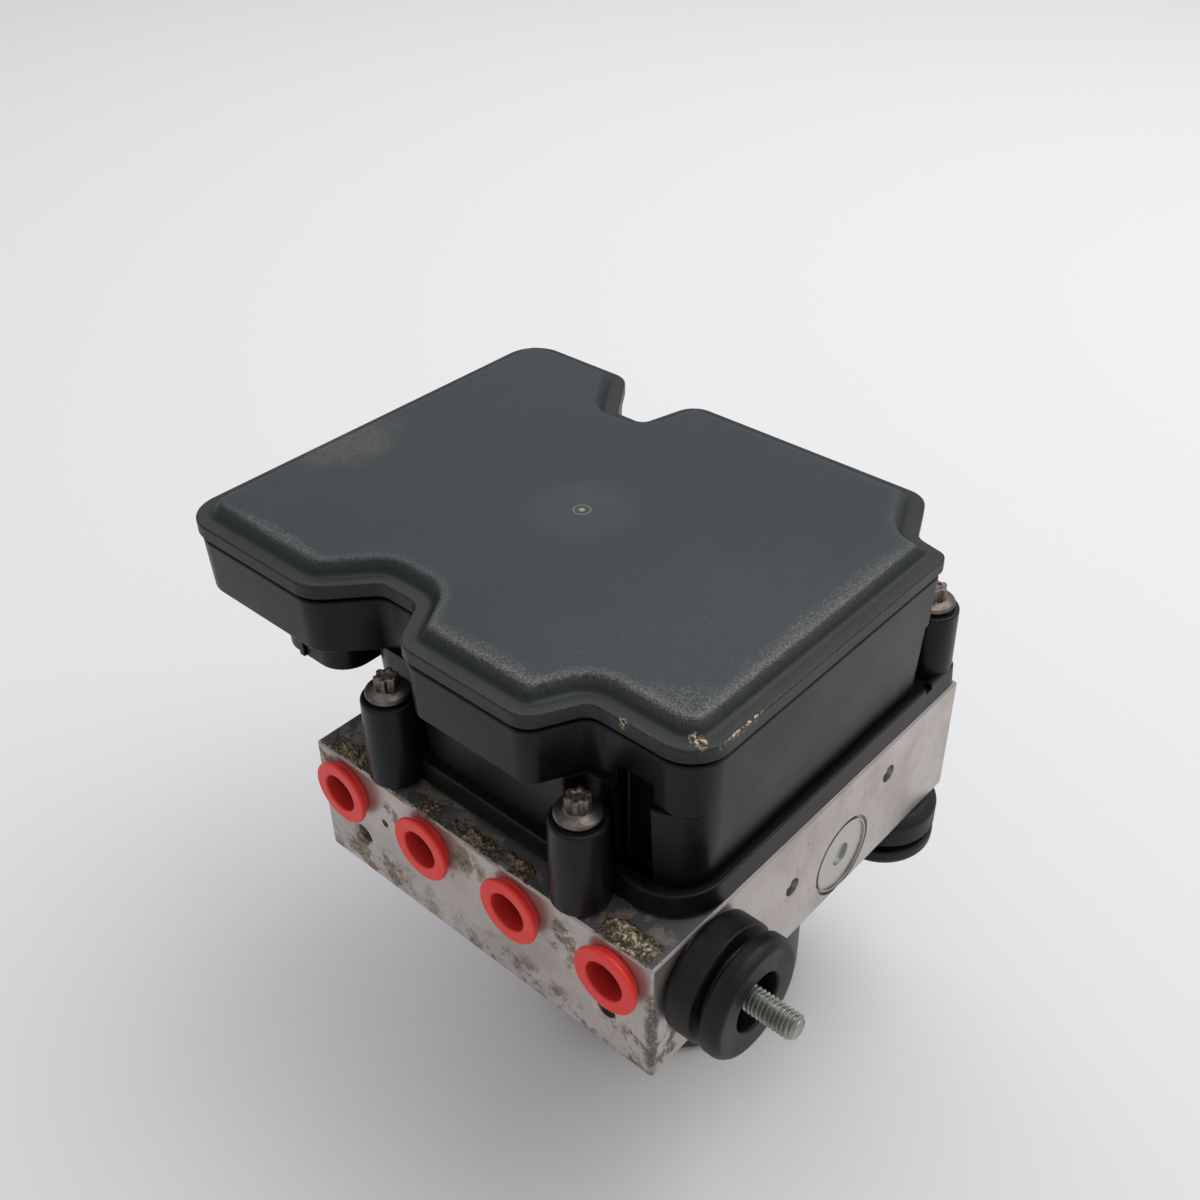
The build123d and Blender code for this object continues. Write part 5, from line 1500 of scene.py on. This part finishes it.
CARRIED = {
    Metal.SCREW: ("motor_screws",),
    Metal.STEEL: (
        "motor_shaft", "motor_bearings", "eccentric_bearing", "sealing_balls", "pump_piston",
        "pump_cylinder", "inlet_plunger", "outlet_plunger",
    ),
    Metal.STAKED: ("pump_cover", "accumulator_cover"),
    Metal.VALVE: ("inlet_valve", "outlet_valve"),
    Metal.BRASS: ("connector_pins",),
    Metal.MAGNET: ("motor_magnets",),
    Metal.WINDING: ("armature",),
    Moulding.MOTOR: ("motor_can", "motor_end_plate"),
    Moulding.SEAL: ("block_seal", "cover_seal"),
    Moulding.BOARD: ("circuit_board",),
    Moulding.COIL: ("inlet_coils", "outlet_coils"),
    Moulding.PISTON: ("accumulator_piston",),
    Moulding.BRUSH: ("brush_gear",),
}


class Carried:
    """CAD nodes that keep their shape and get a finish."""

    def finishes(self) -> dict[str, bpy.types.Material]:
        """A material for the start of each carried node's name."""
        materials = {"hydraulic_block": BlockAluminium().build()}
        for kind, starts in CARRIED.items():
            finish = kind.value
            materials |= dict.fromkeys(starts, bpy.data.materials.get(finish.name) or finish.build())
        return materials

    def build(self) -> None:
        """Give every shown CAD node its finish."""
        materials = self.finishes()
        for name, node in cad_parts.items():
            if node.hide_render:
                continue
            start = next(key for key in materials if name.startswith(key))
            if node.material_slots:
                for slot in node.material_slots:
                    slot.material = materials[start]
            else:
                node.data.materials.append(materials[start])
            LOG.info("%s: %s", name, materials[start].name)


@dataclass
class Studio:
    """Pale sweep with painted shade towards its front, soft lamps and the camera.

    Places are in millimetres, and the lens is in millimetres on a 36 mm sensor.
    """

    camera_place: Point = (160.4, -201.1, 310.2)
    camera_turn: Point = (54.2959, 0.6759, 41.4051)
    lens: float = 41.36
    shift: tuple[float, float] = (-0.00867, -0.013)
    floor_colour: Colour = (0.80, 0.79, 0.80)
    # Painted shade colour of the floor towards the front.
    floor_painted_shade: Colour = (0.735, 0.722, 0.705)
    lamp_target: Point = (-20.0, -10.0, 90.0)
    sweep_extent: float = 2600.0
    sweep_radius: float = 1200.0
    sweep_half_width: float = 4200.0
    sweep_columns: int = 9
    sweep_away: tuple[float, float] = (-0.6612, 0.7502)
    world_level: float = 0.56
    backdrop_level: float = 0.80

    def camera(self) -> None:
        """Place the camera and make it the scene's own."""
        data = bpy.data.cameras.new("camera")
        data.lens = self.lens
        data.sensor_width = 36.0
        data.shift_x, data.shift_y = self.shift
        data.clip_start = 0.01
        eye = bpy.data.objects.new("camera", data)
        eye.location = [value * MM for value in self.camera_place]
        eye.rotation_euler = [math.radians(value) for value in self.camera_turn]
        bpy.context.scene.collection.objects.link(eye)
        bpy.context.scene.camera = eye

    def lamp(self, name: str, place: Point, size: float, power: float) -> None:
        """A square soft lamp aimed at the middle of the unit.

        Args:
            name: Name of the lamp.
            place: Where it stands, in millimetres.
            size: Its side, in metres.
            power: Its power, in watts.
        """
        data = bpy.data.lights.new(name, "AREA")
        data.size = size
        data.energy = power
        lamp = bpy.data.objects.new(name, data)
        lamp.location = [value * MM for value in place]
        aim = np.subtract(self.lamp_target, place)
        flat = math.hypot(aim[0], aim[1])
        lamp.rotation_euler = (math.atan2(flat, -aim[2]), 0.0, math.atan2(-aim[0], aim[1]))
        bpy.context.scene.collection.objects.link(lamp)

    def sweep(self) -> None:
        """A floor that rises into a backdrop along a quarter circle, wide enough for every view."""
        radius, extent, columns = self.sweep_radius, self.sweep_extent, self.sweep_columns
        angle = np.linspace(0, np.pi / 2, 24)
        run = np.concatenate([[-extent], extent + radius * np.sin(angle)])
        rise = np.concatenate([[0.0], radius * (1 - np.cos(angle))])
        across = np.linspace(-self.sweep_half_width, self.sweep_half_width, columns)
        away = np.array(self.sweep_away)
        side = np.array([away[1], -away[0]])
        flat = run[:, None, None] * away + across[None, :, None] * side
        points = np.concatenate([flat, np.repeat(rise[:, None, None], columns, axis=1)], axis=2)
        index = np.arange(points.shape[0] * columns).reshape(-1, columns)
        quads = np.stack([index[:-1, :-1], index[:-1, 1:], index[1:, 1:], index[1:, :-1]], axis=-1)
        mesh = bpy.data.meshes.new("floor_sweep")
        mesh.from_pydata((points.reshape(-1, 3) * MM).tolist(), [], quads.reshape(-1, 4).tolist())
        smooth(mesh)
        graph = Graph("pale_paper")
        # Painted shade: the floor darkens towards the front, as if less light reached it.
        away_from_front = graph.calc("SUBTRACT", graph.axis("Y"), graph.times(graph.axis("X"), 0.88))
        nearness = graph.step(away_from_front, -420.0, 60.0)
        graph.finish(graph.mix(nearness, self.floor_painted_shade, self.floor_colour), 0.7, level=0.1)
        mesh.materials.append(graph.material)
        floor = bpy.data.objects.new("floor_sweep", mesh)
        bpy.context.scene.collection.objects.link(floor)

    def build(self) -> None:
        """Set the stage: sweep, lamps, even world light and camera."""
        scene = bpy.context.scene
        scene.view_settings.view_transform = "Standard"
        world = bpy.data.worlds.new("studio")
        world.use_nodes = True
        background = world.node_tree.nodes["Background"]
        background.inputs["Color"].default_value = (0.97, 0.98, 1.0, 1.0)
        tree = world.node_tree
        rays = tree.nodes.new("ShaderNodeLightPath")
        level = tree.nodes.new("ShaderNodeMapRange")
        tree.links.new(rays.outputs["Is Camera Ray"], level.inputs["Value"])
        level.inputs["To Min"].default_value = self.world_level
        level.inputs["To Max"].default_value = self.backdrop_level
        tree.links.new(level.outputs["Result"], background.inputs["Strength"])
        scene.world = world
        self.sweep()
        self.lamp("key", (420.0, 640.0, 1350.0), 1.3, 11.0)
        self.lamp("fill", (-620.0, 620.0, 1400.0), 1.4, 6.0)
        self.camera()


def main() -> None:
    """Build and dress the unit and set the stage."""
    logging.basicConfig(level=logging.INFO, format="%(name)s %(message)s")
    assemblies = (Cover, Housing, PortPlugs, Mounting, TowerScrews, ReturnSprings, Crust, Carried, Studio)
    for assembly in assemblies:
        LOG.info("building %s", assembly.__name__)
        assembly().build()
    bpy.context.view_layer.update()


if __name__ == "__main__":
    main()
